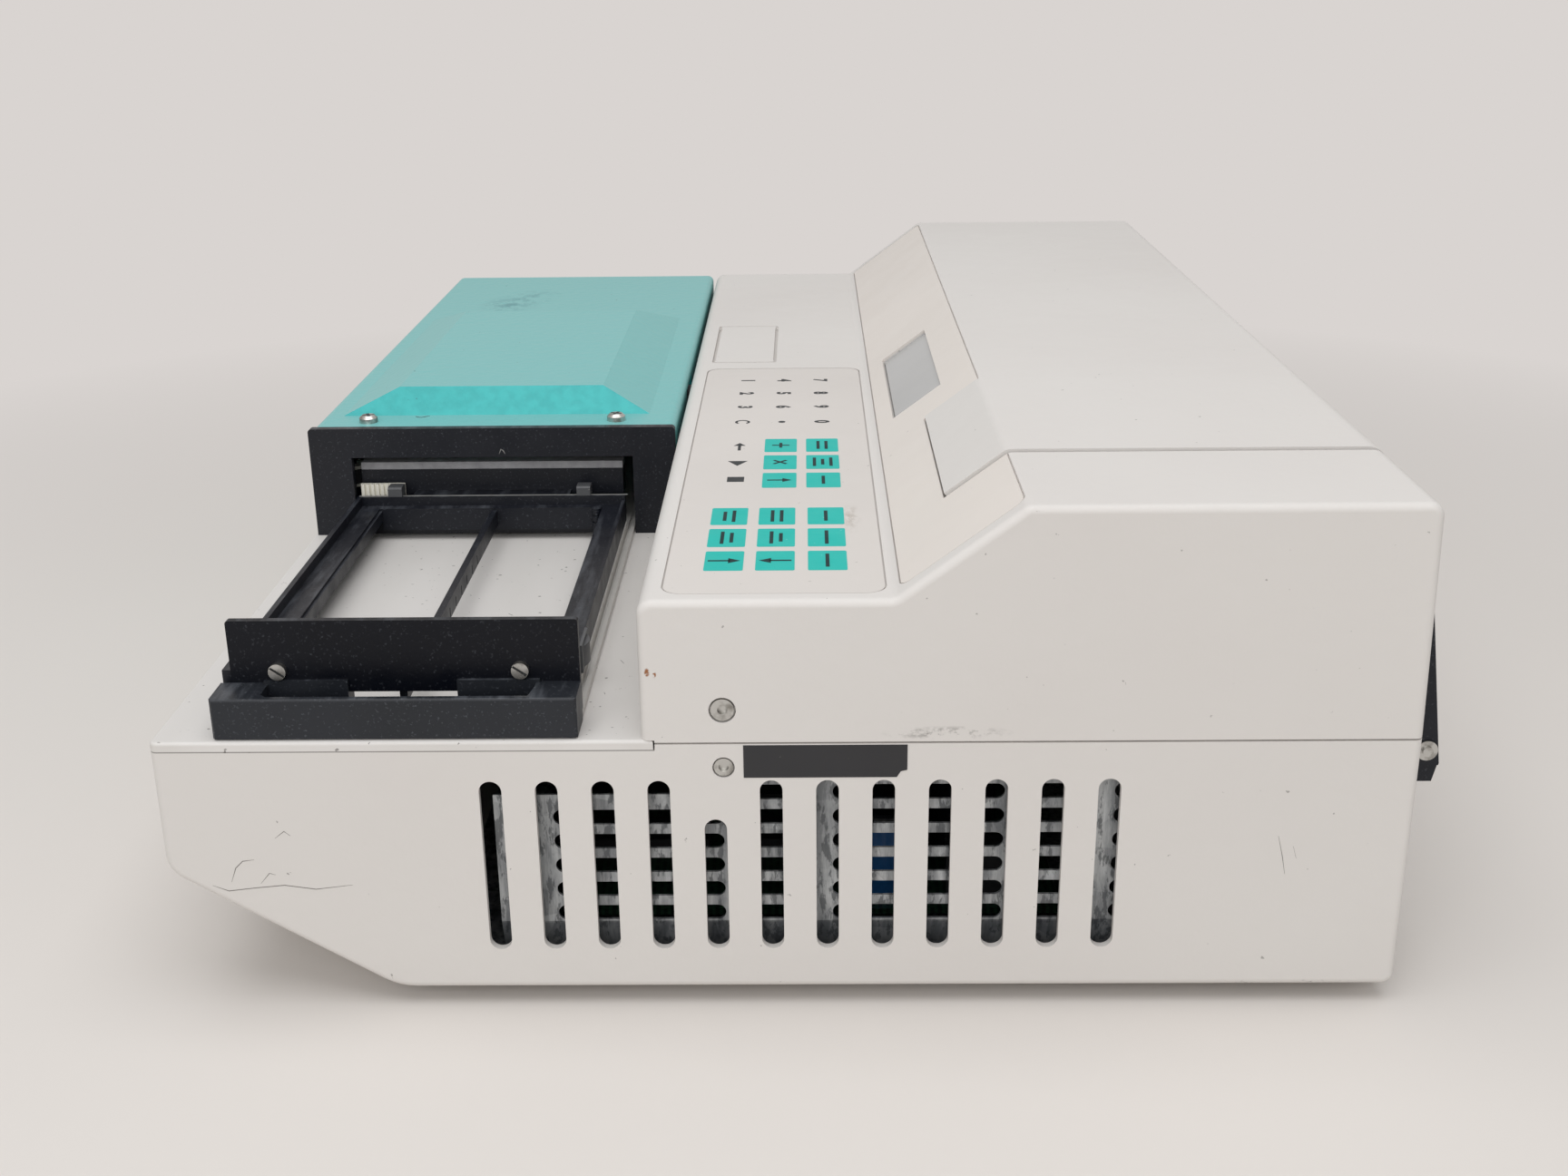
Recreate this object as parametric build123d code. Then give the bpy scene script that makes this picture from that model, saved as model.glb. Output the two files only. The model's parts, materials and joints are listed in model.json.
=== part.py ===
from build123d import *
import os
from math import atan2, cos, degrees, hypot, pi, sin

# A bench microplate reader: a plate carriage slides out of a doorway under a painted
# hood, across a deck; behind it stand the keypad, the display and a printer lid.
# Places are measured from the right side (x, leftwards negative), the front face
# (y, rearwards) and the bottom edge of the lower housing (z, up), all in mm.

# ------------------------------------------------------------------ overall sizes
WIDTH = 434.0            # right side to left side
DEPTH = 316.6            # front face to the rear face at the seam
SEAM_Z = 70.2            # lower housing to upper housing
TOP_Z = 131.5            # flat top behind the display
FOOT_H = 5.0
WALL = 3.5               # structural foam mouldings
SIDE_R = 2.0             # rounding round both side faces
GAP = 0.4                # parts that move past each other, or lie side by side
SEAT = 0.05              # radial clearance of a shaft, pin or bush
LEFT = -WIDTH

# ------------------------------------------------------------------ outline of the mouldings
SLOPE_Y = 56.8           # where the sloping chin reaches the bottom
SLOPE_Z = 34.8           # where the chin starts
KEY_Y = 123.0            # front of the keypad housing
KEY_Z = 108.2            # keypad face
INC_Y0 = 185.6           # foot of the display slope
INC_Y1 = 217.0           # head of the display slope
REAR_DRAFT = 1.4         # the rear wall leans in towards the top
REAR_Y = DEPTH - REAR_DRAFT
TOP_R = 4.0
REAR_R = 3.6
SEAM_GAP = 0.5           # groove round the outside where the two mouldings meet
SEAM_IN = 1.2

# ------------------------------------------------------------------ deck
DECK_Z = 71.3
DECK_T = 2.8
DECK_Y = 126.0           # end of the visible lip
TONGUE_Y = 134.0         # the deck runs on inside, under the keypad housing

# ------------------------------------------------------------------ side vents and their screen
VENT_COUNT = 12
VENT_SHORT = 4           # index of the slot that is cut short under the screw
VENT_Y = 84.6
VENT_PITCH = 14.12
VENT_W = 5.7
VENT_Z0 = 11.9
VENT_Z1 = 60.2
VENT_SHORT_Z1 = 49.3
VENT_WALL = 2.0          # the wall is thinner round the vents
SCREEN_X = -6.0
SCREEN_T = 0.8
SCREEN_Y = (84.0, 291.0)
SCREEN_STEP_Y = 147.0    # the top edge steps up behind the screw
SCREEN_Z = (6.5, 53.4, 66.5)
SCREEN_ROWS = 6
SCREEN_ROW_Z = 19.2
SCREEN_ROW_PITCH = 6.95
SCREEN_SLOT_H = 4.2
SCREEN_LONG = 43.8
SCREEN_SHORT = 15.6
SCREEN_BRIDGE = 6.1
SCREEN_SLOT_Y = 99.1
SCREEN_BEND_Z = 16.6     # below the slots the sheet leans inwards
SCREEN_LEAN = 3.0

# ------------------------------------------------------------------ hood and doorway
HOOD_Y = (2.1, 121.6)
HOOD_Z = 107.8
HOOD_T = 2.5
HOOD_R = 2.6
BEZEL_X = -162.0
BEZEL_T = 3.0
DOOR_Y = (14.8, 107.5)
DOOR_Z = 98.0
BOSS_FOOT = ((-336.0, -180.0), (9.0, 112.0))
BOSS_TOP = ((-313.0, -187.0), (27.0, 96.0))
BOSS_H = 8.0
HOOD_SCREW_X = -171.0
HOOD_SCREW_Y = (19.4, 101.7)
HOOD_END_Y = (34.0, 94.0)   # two more screws in the left end, in sunk seats
HOOD_END_Z = 80.0
HOOD_PAD = 2.2
BEZEL_OVER = 0.9         # the frame stands out beside the hood

# ------------------------------------------------------------------ plate carriage, drawn fully out
TRAVEL = 147.5
PLATE_L = 127.76         # standard microplate footprint
PLATE_W = 85.48
POCKET_GAP = 0.52        # plate to pocket, over the width
POCKET_Y = (17.5, 17.5 + PLATE_W + POCKET_GAP)
CARRIER_X = (-162.0, -14.0)
CARRIER_WALL = 1.5
LEDGE_Z = 82.0
LEDGE_T = 2.2
CARRIER_Z0 = 72.4
CARRIER_TOP = 85.0
SKIRT_Z = 77.6           # lower edge of the ledges' inner skirts
FAR_SKIRT_Z = 74.6
RIB_Z = 76.0
LEDGE_L = 7.2            # left ledge width
LEDGE_R = 6.2            # right ledge width
RIB_Y = 61.6
RIB_T = 2.0
WELL_PITCH = 9.0
ENCODER_X = -117.7
ENCODER_COUNT = 12
FACE_X = (-14.0, -12.0)
FACE_Y = (18.9, 107.2)
FACE_Z = (74.1, 99.1)
FACE_SCREW_Y = (31.1, 92.3)
FACE_SCREW_Z = 85.8
WINDOW_Y = (48.5, 76.1)
WINDOW_Z = 79.8
BAR_X = (-12.0, -1.2)
BAR_Y = (16.1, 107.3)
BAR_Z = (71.7, 82.4)
BAR_LIP = 1.7
BAR_END_L = 12.2
BAR_END_R = 11.2
RAIL_Y = (103.6, 107.1)     # pale slide rail under the tray's right wall
RAIL_Z = (DECK_Z + 0.3, 73.4)
RAIL_GROOVE = (104.9, 105.8)
SHIELD_X = (-175.0, -168.0)
SHIELD_Y = (16.2, 103.4)
SHIELD_Z = (83.4, 92.2)
FOAM_H = 2.4
CLIP_Y = (26.3, 30.9, 88.7, 93.2)
CLIP_Z = (85.1, 88.2)

# ------------------------------------------------------------------ carriage drive, under the hood
BELT_Z = (85.5, 90.0)
BELT_T = 0.8
PULLEY_R = 4.0
PULLEY_TEETH = 15
PULLEY_Y = HOOD_Y[0] + HOOD_T + 0.6 + BELT_T + GAP + PULLEY_R
BELT_Y = PULLEY_Y + PULLEY_R + GAP + BELT_T / 2    # middle of the strand that pulls the carriage
IDLER_X = -179.0
DRIVE_X = LEFT + 18.0
ROD_R = 2.5
ROD_Y = 10.8
ROD_Z = 77.5
BUSH_R = 4.0
BUSH_L = 9.0
MOTOR_R = 6.2
MOTOR_L = 26.0

# ------------------------------------------------------------------ optics
HEAD_X = (-201.0, -190.0)
HEAD_Z = 97.6
HEAD_ROWS = 8
LIGHT_HOLE_R = 2.2
BEAM_Y = 275.0
BEAM_Z = 72.0
WHEEL_X = (-100.0, -96.0)
WHEEL_R = 27.0
FILTER_R = 6.0
FILTER_RING = 20.0
FILTER_COUNT = 6
FIBRE_R = 3.5

# ------------------------------------------------------------------ keypad, display and printer
KEYPAD_X = (-241.4, -5.4)
KEYPAD_Y = (129.0, 183.7)
OVERLAY_T = 0.7
RECESS = 0.8
FILM_GAP = 0.45
FASCIA_X = (LEFT + 6.0, -6.3)
FASCIA_V = (2.3, 38.6)   # up the slope from its foot
LCD_X = (-232.3, -150.6)
LCD_V = (8.2, 26.8)
PANEL_X = (-316.2, -251.3)
PANEL_Y = (129.6, 153.6)
LID_X = (-126.0, -47.2)
LID_Y0 = 201.1
LID_T = 2.0
LID_RISE = 0.7           # the lid stands proud of the housing
LID_GAP = 0.8
LID_PIN_R = 1.2
LID_AXIS_IN = WALL + LID_PIN_R + 0.3    # hinge axis, in from the top and the rear; also the knuckles' radius
BAY_T = 2.0
BAY_Z = 94.0
PLATEN_R = 5.0
PLATEN_Y = 219.0
PLATEN_Z = 117.0
ROLL_R = 13.0
ROLL_Y = 264.0
ROLL_Z = 112.0

# ------------------------------------------------------------------ rear
FLAP_X = (-112.0, -12.0)
FLAP_PIVOT = (DEPTH + 5.4, 62.0)
FLAP_TOP_Z = 102.6
FLAP_FOOT_Z = 52.8
FLAP_SKIN = 2.2
FLAP_CHEEK = 2.6
FLAP_PIN_R = 1.35
LUG_R = 3.0
LUG_T = 5.6
FLAP_OUT = 9.0           # how far the flap stands out behind the lower housing
POCKET_Z = (48.0, 67.4)
POCKET_D = 6.0
PANEL_CUT_X = (LEFT + 18.0, -134.0)
PANEL_CUT_Z = (11.0, 59.0)
PANEL_T = 1.3
CHASSIS_Z = (5.0, 6.5)


# ================================================================== small helpers
def box(x, y, z):
    """Block between two x, two y and two z values."""
    size = (abs(x[1] - x[0]), abs(y[1] - y[0]), abs(z[1] - z[0]))
    return Pos(sum(x) / 2, sum(y) / 2, sum(z) / 2) * Box(*size)


def bar(start, along, length, radius):
    """Round bar from a point, along a direction."""
    return extrude(Plane(origin=start, z_dir=along) * Circle(radius), length)


def tube(start, along, length, outer, inner):
    """Round tube from a point, along a direction."""
    return extrude(Plane(origin=start, z_dir=along) * (Circle(outer) - Circle(inner)), length)


def yz_profile(corners):
    """Closed outline in the y-z plane; a third value on a corner is its radius."""
    face = Polygon(*[(c[0], c[1]) for c in corners], align=None)
    for c in corners:
        if len(c) > 2:
            spot = [v for v in face.vertices() if hypot(v.X - c[0], v.Y - c[1]) < 0.01]
            face = fillet(spot, c[2])
    return face


def along_x(face, x):
    """Sweep a y-z outline between two x values."""
    return extrude(Plane.YZ.offset(min(x)) * face, abs(x[1] - x[0]), dir=(1, 0, 0))


def upright(face, z):
    """Raise an x-y outline between two heights."""
    return extrude(Plane.XY.offset(z[0]) * face, z[1] - z[0], dir=(0, 0, 1))


def side_edges(part, x, above=-1e3, below=1e3):
    """Edges lying in the plane of a side face, between two heights."""
    flat = [e for e in part.edges() if abs(e.bounding_box().min.X - x) < 1e-3
            and abs(e.bounding_box().max.X - x) < 1e-3]
    return [e for e in flat if above < e.center().Z < below]


def group(*solids):
    """Separate solids that share a node."""
    return Compound(children=list(solids))


# ================================================================== shared outlines
def base_outline():
    return yz_profile([(0, SEAM_Z), (0, SLOPE_Z, 8), (SLOPE_Y, 0, 16), (DEPTH, 0, 3), (DEPTH, SEAM_Z)])


def top_outline(rear_r=REAR_R):
    return yz_profile([(KEY_Y, SEAM_Z), (KEY_Y, KEY_Z, TOP_R), (INC_Y0, KEY_Z, TOP_R),
                       (INC_Y1, TOP_Z, TOP_R), (REAR_Y, TOP_Z, rear_r), (DEPTH, SEAM_Z)])


def top_cavity(skin):
    """Inside of the upper housing, a skin thickness in from its outside."""
    inner = along_x(offset(top_outline(), -skin), (LEFT + skin, -skin))
    rear_lean = skin + REAR_DRAFT / 8
    mouth = box((LEFT + skin, -skin), (KEY_Y + skin, DEPTH - rear_lean), (SEAM_Z - 2, SEAM_Z + skin + 1))
    return inner + mouth


def seam_groove():
    """Shadow line round the outside, just above the seam."""
    outside = box((LEFT - 1, 1), (KEY_Y - 1, DEPTH + 1), (SEAM_Z - 1, SEAM_Z + SEAM_GAP))
    return outside - box((LEFT + SEAM_IN, -SEAM_IN), (KEY_Y + SEAM_IN, DEPTH - SEAM_IN), (SEAM_Z - 2, SEAM_Z + 2))


def slope_plane():
    """x across the instrument, y up the display slope, z out of it."""
    rise, run = TOP_Z - KEY_Z, INC_Y1 - INC_Y0
    length = hypot(rise, run)
    return Plane(origin=(0, INC_Y0, KEY_Z), x_dir=(1, 0, 0), z_dir=(0, -rise / length, run / length))


def slope_distance(y):
    """Distance up the display slope at a given y."""
    rise, run = TOP_Z - KEY_Z, INC_Y1 - INC_Y0
    return (y - INC_Y0) * hypot(rise, run) / run


def slope_point(v, n):
    """y and z of a point a distance up the slope and a height out of it."""
    rise, run = TOP_Z - KEY_Z, INC_Y1 - INC_Y0
    length = hypot(rise, run)
    return INC_Y0 + (v * run - n * rise) / length, KEY_Z + (v * rise + n * run) / length


def on_slope(x, v, n, corner=0.0):
    """Block on the display slope between two x, two distances up it and two heights."""
    face = Pos(sum(x) / 2, sum(v) / 2) * Rectangle(abs(x[1] - x[0]), abs(v[1] - v[0]))
    if corner:
        face = fillet(face.vertices(), corner)
    return extrude(slope_plane().offset(n[0]) * face, n[1] - n[0])


def plate_xy(x, y, z, corner):
    """Flat plate with rounded corners."""
    face = Pos(sum(x) / 2, sum(y) / 2) * RectangleRounded(abs(x[1] - x[0]), abs(y[1] - y[0]), corner)
    return extrude(Plane.XY.offset(z[0]) * face, z[1] - z[0])


def lid_axis():
    return REAR_Y - LID_AXIS_IN, TOP_Z - LID_AXIS_IN


# ================================================================== housing
SCREW_Y = 143.4
SCREW_Z_UP = 79.4
SCREW_Z_LOW = 63.8
TAB_X = 4.4
TAB_Y = (SCREW_Y - 7.0, SCREEN_STEP_Y - GAP)


def vent(k):
    """One vertical slot through the right wall."""
    top = VENT_SHORT_Z1 if k == VENT_SHORT else VENT_Z1
    slot = Pos(VENT_Y + k * VENT_PITCH, (VENT_Z0 + top) / 2) * SlotOverall(top - VENT_Z0, VENT_W, rotation=90)
    return along_x(slot, (-WALL - 1, 1))


def screw_tab(x_wall, inward):
    """Upright tab inside a side wall; it carries the screws of both housings."""
    inner = x_wall + inward * (WALL + TAB_X)
    low = box((x_wall + inward * (WALL - 0.5), inner), TAB_Y, (55, SEAM_Z - 0.5))
    high = box((x_wall + inward * (WALL + GAP), inner), TAB_Y, (SEAM_Z - 1, 87))
    return low + high


def flap_lugs():
    y, z = FLAP_PIVOT
    lugs = []
    for x in flap_lug_places():
        stem = box(x, (DEPTH - POCKET_D - 0.5, y), (z - LUG_R, z + LUG_R))
        lugs.append(stem + bar((x[0], y, z), (1, 0, 0), LUG_T, LUG_R))
    return lugs


def flap_lug_places():
    near = FLAP_X[1] - FLAP_CHEEK - GAP
    far = FLAP_X[0] + FLAP_CHEEK + GAP
    return [(near - LUG_T, near), (far, far + LUG_T)]


def lower_housing():
    """Tub with a sloping chin, vents on the right and an opening for the rear panel."""
    body = along_x(base_outline(), (LEFT, 0))
    for x in (0, LEFT):
        body = fillet(side_edges(body, x, below=SEAM_Z - 0.01), SIDE_R)
    body -= along_x(offset(base_outline(), -WALL), (LEFT + WALL, -WALL))
    body -= box((LEFT + WALL, -WALL), (WALL, DEPTH - WALL), (SEAM_Z - WALL - 1, SEAM_Z + 1))
    last_vent = VENT_Y + (VENT_COUNT - 1) * VENT_PITCH
    body -= box((-WALL - 0.1, -VENT_WALL), (VENT_Y - 7, last_vent + 7), (VENT_Z0 - 5, VENT_Z1 + 1.5))
    pocket_x = (FLAP_X[0] - 1, FLAP_X[1] + 1)
    body += box((pocket_x[0] - WALL, pocket_x[1] + WALL), (DEPTH - POCKET_D - WALL, DEPTH - 1),
                (POCKET_Z[0] - WALL, SEAM_Z - 0.5))
    body -= box(pocket_x, (DEPTH - POCKET_D, DEPTH + 1), POCKET_Z)
    for lug in flap_lugs():
        body += lug
    body += screw_tab(0, -1)
    body += screw_tab(LEFT, 1)
    for x in (-40.0, LEFT / 2, LEFT + 40.0):
        for y in (SLOPE_Y + 22, DEPTH - 28):
            body += bar((x, y, WALL - 0.5), (0, 0, 1), CHASSIS_Z[0] - WALL + 0.5, 5)
    body -= box((LEFT - 1, 1), (-1, DECK_Y + GAP), (DECK_Z - DECK_T, SEAM_Z + 1))
    for k in range(VENT_COUNT):
        body -= vent(k)
    body -= box(PANEL_CUT_X, (DEPTH - WALL - 1, DEPTH + 1), PANEL_CUT_Z)
    y, z = FLAP_PIVOT
    body -= bar((FLAP_X[0], y, z), (1, 0, 0), FLAP_X[1] - FLAP_X[0], FLAP_PIN_R + SEAT)
    for x, inward in ((0, -1), (LEFT, 1)):
        for height in (SCREW_Z_LOW, SCREW_Z_UP):
            body -= bar((x, SCREW_Y, height), (inward, 0, 0), WALL + TAB_X + 1, 1.5 + SEAT)
        body -= bar((x, SCREW_Y, SCREW_Z_LOW), (inward, 0, 0), 1.6, 2.8)
    return body


def rubber_feet():
    """Four moulded feet under the bottom."""
    feet = []
    for x in (-34.0, LEFT + 34.0):
        for y in (SLOPE_Y + 14, DEPTH - 24):
            feet.append(extrude(Pos(x, y, -FOOT_H) * Circle(8.0), FOOT_H, taper=-8))
    return group(*feet)


def deck_plate():
    """Platform the carriage runs on: a moulded plate whose lip caps the lower housing."""
    deck = box((LEFT, 0), (0, DECK_Y), (DECK_Z - DECK_T, DECK_Z))
    corners = [e for e in deck.edges().filter_by(Axis.Z) if e.center().Y < 1]
    deck = fillet(corners, SIDE_R)
    deck = fillet(deck.faces().sort_by(Axis.Z)[-1].edges(), 0.9)
    inset = WALL + GAP
    deck += box((LEFT + inset, -inset), (DECK_Y - 2, TONGUE_Y), (DECK_Z - DECK_T, DECK_Z))
    centre = sum(POCKET_Y) / 2
    for k in range(HEAD_ROWS):
        y = centre + (k - (HEAD_ROWS - 1) / 2) * WELL_PITCH
        deck -= bar((sum(HEAD_X) / 2, y, DECK_Z + 1), (0, 0, -1), DECK_T + 2, LIGHT_HOLE_R)
    deck -= bar((DRIVE_X, PULLEY_Y, DECK_Z + 1), (0, 0, -1), DECK_T + 2, 2.6)
    for y in HOOD_END_Y:
        lug = box((LEFT + HOOD_T + HOOD_PAD + GAP, LEFT + 10), grow((y, y), 6), (DECK_Z - 0.1, HOOD_END_Z + 6))
        deck += lug - bar((LEFT, y, HOOD_END_Z), (1, 0, 0), 14, 1.5 + SEAT)
    return deck


def upper_housing():
    """Moulded cover: keypad face, display slope, flat top with the printer opening."""
    body = along_x(top_outline(), (LEFT, 0))
    for x in (0, LEFT):
        body = fillet(side_edges(body, x, above=SEAM_Z + 0.01), SIDE_R)
    body -= top_cavity(WALL)
    body -= seam_groove()
    body -= box((LEFT - 1, 1), (KEY_Y - 1, DECK_Y + GAP), (SEAM_Z - 1, DECK_Z))
    body -= box((LEFT + WALL, -WALL), (KEY_Y - 1, KEY_Y + WALL + 1), (SEAM_Z - 1, DECK_Z))
    # passage for the light guide, covered by the hood
    body -= box((LEFT + 10, BEZEL_X - 12), (KEY_Y - 1, KEY_Y + WALL + 1), (DECK_Z + 3, HOOD_Z - 4))
    # recesses of the two membranes, and the window
    body -= plate_xy(grow(KEYPAD_X, FILM_GAP), grow(KEYPAD_Y, FILM_GAP), (KEY_Z - RECESS, KEY_Z + 1), 5.0 + FILM_GAP)
    body -= on_slope(grow(FASCIA_X, FILM_GAP), grow(FASCIA_V, FILM_GAP), (-RECESS, 1), 3.0 + FILM_GAP)
    body -= on_slope(LCD_X, LCD_V, (-WALL - 2, 1))
    # blank moulded panel beside the keypad, ringed by a groove
    ring = plate_xy(PANEL_X, PANEL_Y, (KEY_Z - 0.7, KEY_Z + 1), 1.5)
    ring -= plate_xy(grow(PANEL_X, -0.9), grow(PANEL_Y, -0.9), (KEY_Z - 1, KEY_Z + 2), 0.7)
    body -= ring
    for y in (PANEL_Y[0], PANEL_Y[1] - 1.2):
        body -= box(grow(PANEL_X, -3), (y, y + 1.2), (KEY_Z - 1.4, KEY_Z + 1))
    # printer opening, with a rebate for the lid and a hollow for its knuckles
    body -= along_x(lid_band(LID_T + 0.3, LID_GAP), grow(LID_X, LID_GAP))
    ledge = 3.0
    body -= box(grow(LID_X, -ledge), (LID_Y0 + ledge, REAR_Y - 2 * LID_AXIS_IN), (KEY_Z - 1, TOP_Z + 1))
    y, z = lid_axis()
    body -= bar((LID_X[0] - LID_GAP, y, z), (1, 0, 0), LID_X[1] - LID_X[0] + 2 * LID_GAP, LID_AXIS_IN + LID_RISE + GAP)
    # lamp door behind the rear flap
    body -= box((FLAP_X[0] + 8, FLAP_X[1] - 8), (DEPTH - 8, DEPTH + 1), (SEAM_Z + 4, 92))
    # warm air slots in the rear wall
    for k in range(10):
        body -= box((-310 + k * 13, -306 + k * 13), (DEPTH - 9, DEPTH + 1), (82, 112))
    for x, inward in ((0, -1), (LEFT, 1)):
        body -= bar((x, SCREW_Y, SCREW_Z_UP), (inward, 0, 0), WALL + 1, 1.7)
        body -= bar((x, SCREW_Y, SCREW_Z_UP), (inward, 0, 0), 1.8, 3.4)
    return body


def grow(span, by):
    """Widen a pair of values at both ends."""
    return (span[0] - by, span[1] + by)


def lid_band(thickness, clear):
    """Outline of the lid: a band along the outside of the top, from the slope to the rear corner."""
    outline = top_outline(LID_AXIS_IN)
    whole = offset(outline, LID_RISE if clear == 0 else LID_RISE + 1.0)
    band = whole - offset(outline, -thickness)
    y, z = lid_axis()
    front = slope_distance(LID_Y0) - clear
    reach = Polygon(slope_point(front, -6), slope_point(front, 4), (INC_Y1, TOP_Z + 4), (REAR_Y + 3, TOP_Z + 4),
                    (REAR_Y + 3, z), (REAR_Y - 20, z), (INC_Y1 + 4, z - 8), align=None)
    return band & reach


def housing_screws():
    """Socket screws that hold both housings to the tabs, two on each side."""
    screws = []
    for x, inward in ((0, -1), (LEFT, 1)):
        for height, depth, head in ((SCREW_Z_UP, 1.8, 2.9), (SCREW_Z_LOW, 1.6, 2.4)):
            start = (x + inward * 0.2, SCREW_Y, height)
            body = bar(start, (inward, 0, 0), depth - 0.2, head)
            body += bar(start, (inward, 0, 0), WALL + TAB_X - 0.6, 1.5)
            body -= bar(start, (inward, 0, 0), 1.0, 1.25)
            screws.append(body)
    return group(*screws)


# ================================================================== keypad and display
def keypad_overlay():
    """Printed membrane in its recess."""
    return plate_xy(KEYPAD_X, KEYPAD_Y, (KEY_Z - RECESS, KEY_Z - RECESS + OVERLAY_T), 5.0)


def display_fascia():
    """Printed film on the slope, cut out for the display and the printer lid."""
    face = on_slope(FASCIA_X, FASCIA_V, (-RECESS, -RECESS + OVERLAY_T), 3.0)
    window = on_slope(LCD_X, LCD_V, (-2, 1))
    rebate = on_slope(grow(LID_X, LID_GAP), (slope_distance(LID_Y0) - LID_GAP, FASCIA_V[1] + 1), (-2, 1))
    return face - window - rebate


def lcd_module():
    """Glass in its frame behind the window, on its circuit board."""
    glass = on_slope(grow(LCD_X, -GAP), grow(LCD_V, -GAP), (-WALL - 0.5, -1.2))
    frame = on_slope(grow(LCD_X, 5), grow(LCD_V, 4), (-WALL - 5, -WALL - 0.2))
    board = on_slope(grow(LCD_X, 9), grow(LCD_V, 6), (-WALL - 6.8, -WALL - 5.2))
    return group(glass + frame, board)


# ================================================================== hood and doorway frame
def hood_boss(inset, drop):
    """Raised field on the hood: a flat-topped loft."""
    (x0, x1), (y0, y1) = BOSS_FOOT
    (u0, u1), (v0, v1) = BOSS_TOP
    foot_z = HOOD_Z - drop - 1.0
    head = Pos((u0 + u1) / 2, (v0 + v1) / 2) * Rectangle(u1 - u0 - 2 * inset, v1 - v0 - 2 * inset)
    spread = 1.0 / BOSS_H
    foot = Pos((x0 + x1) / 2, (y0 + y1) / 2) * Rectangle(
        (x1 - x0 - 2 * inset) + spread * ((x1 - x0) - (u1 - u0)),
        (y1 - y0 - 2 * inset) + spread * ((y1 - y0) - (v1 - v0)))
    return loft([Plane.XY.offset(foot_z) * foot, Plane.XY.offset(HOOD_Z - drop + BOSS_H) * head])


def hood_cover():
    """Painted cover over the carriage's inner half, open towards the doorway and below."""
    x = (LEFT, BEZEL_X - BEZEL_T)
    body = box(x, HOOD_Y, (DECK_Z, HOOD_Z))
    ends = [e for e in body.edges().filter_by(Axis.Z) if e.center().X < LEFT + 1]
    body = fillet(ends, HOOD_R)
    rim = [e for e in body.faces().sort_by(Axis.Z)[-1].edges() if e.center().X < x[1] - 0.01]
    body = fillet(rim, HOOD_R)
    body += hood_boss(0, 0)
    body -= box((x[0] + HOOD_T, x[1] + 1), grow(HOOD_Y, -HOOD_T), (DECK_Z - 1, HOOD_Z - HOOD_T))
    body -= hood_boss(HOOD_T / 2, HOOD_T)
    for y in HOOD_SCREW_Y:
        body -= bar((HOOD_SCREW_X, y, HOOD_Z + 1), (0, 0, -1), HOOD_T + 2, 1.7)
    for y in HOOD_END_Y:
        body += bar((LEFT + HOOD_T - 0.1, y, HOOD_END_Z), (1, 0, 0), HOOD_PAD + 0.1, 5)
        body -= bar((LEFT - 1, y, HOOD_END_Z), (1, 0, 0), HOOD_T + HOOD_PAD + 2, 1.7)
        body -= bar((LEFT - 1, y, HOOD_END_Z), (1, 0, 0), 3.2, 3.3)
    # passage of the light guide, open below so that the cover lifts off
    body -= box((-252, -226), (HOOD_Y[1] - HOOD_T - 1, HOOD_Y[1] + 1), (DECK_Z - 1, HOOD_Z - 4))
    return body


def hood_bezel():
    """Black doorway frame, an inverted U whose shelves carry the hood's screws."""
    y = (HOOD_Y[0] - BEZEL_OVER, HOOD_Y[1])
    face = Pos(sum(y) / 2, (DECK_Z + HOOD_Z) / 2) * Rectangle(y[1] - y[0], HOOD_Z - DECK_Z)
    face = fillet(face.vertices().group_by(Axis.Y)[-1], 1.2)
    frame = along_x(face, (BEZEL_X - BEZEL_T, BEZEL_X))
    frame -= box((BEZEL_X - BEZEL_T - 1, BEZEL_X + 1), DOOR_Y, (DECK_Z - 1, DOOR_Z))
    frame += box((BEZEL_X - 24, BEZEL_X - 1), (DOOR_Y[0] - 6, DOOR_Y[1] + 5), (HOOD_Z - HOOD_T - 3, HOOD_Z - HOOD_T - 0.02))
    frame -= box((BEZEL_X - 30, BEZEL_X - BEZEL_T), (34, 84), (HOOD_Z - 10, HOOD_Z - HOOD_T + 1))
    for y in HOOD_SCREW_Y:
        frame -= bar((HOOD_SCREW_X, y, HOOD_Z), (0, 0, -1), 8, 1.5 + SEAT)
    return frame


PAN_H = 2.4


def pan_head_screw(at, along, length, head=3.0, shank=1.5):
    """Pan head screw whose seat is at a point; the shank runs along a direction."""
    back = tuple(-c for c in along)
    top = bar(at, back, PAN_H, head)
    far = top.edges().sort_by(lambda e: sum(a * b for a, b in zip(e.center(), back)))[-1]
    return chamfer(far, 0.9) + bar(at, along, length, shank)


def hood_screws():
    screws = [pan_head_screw((HOOD_SCREW_X, y, HOOD_Z), (0, 0, -1), 5.2) for y in HOOD_SCREW_Y]
    seat = LEFT + 2.2
    screws += [pan_head_screw((seat, y, HOOD_END_Z), (1, 0, 0), 7.4) for y in HOOD_END_Y]
    return group(*screws)


# ================================================================== screen, chassis and electronics
def screen_slot_places():
    """Left end and length of the slots of one row: long and short ones take turns."""
    y, places, long = SCREEN_SLOT_Y, [], True
    while y + (SCREEN_LONG if long else SCREEN_SHORT) < SCREEN_Y[1] - 3:
        size = SCREEN_LONG if long else SCREEN_SHORT
        places.append((y, size))
        y += size + SCREEN_BRIDGE
        long = not long
    return places


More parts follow.
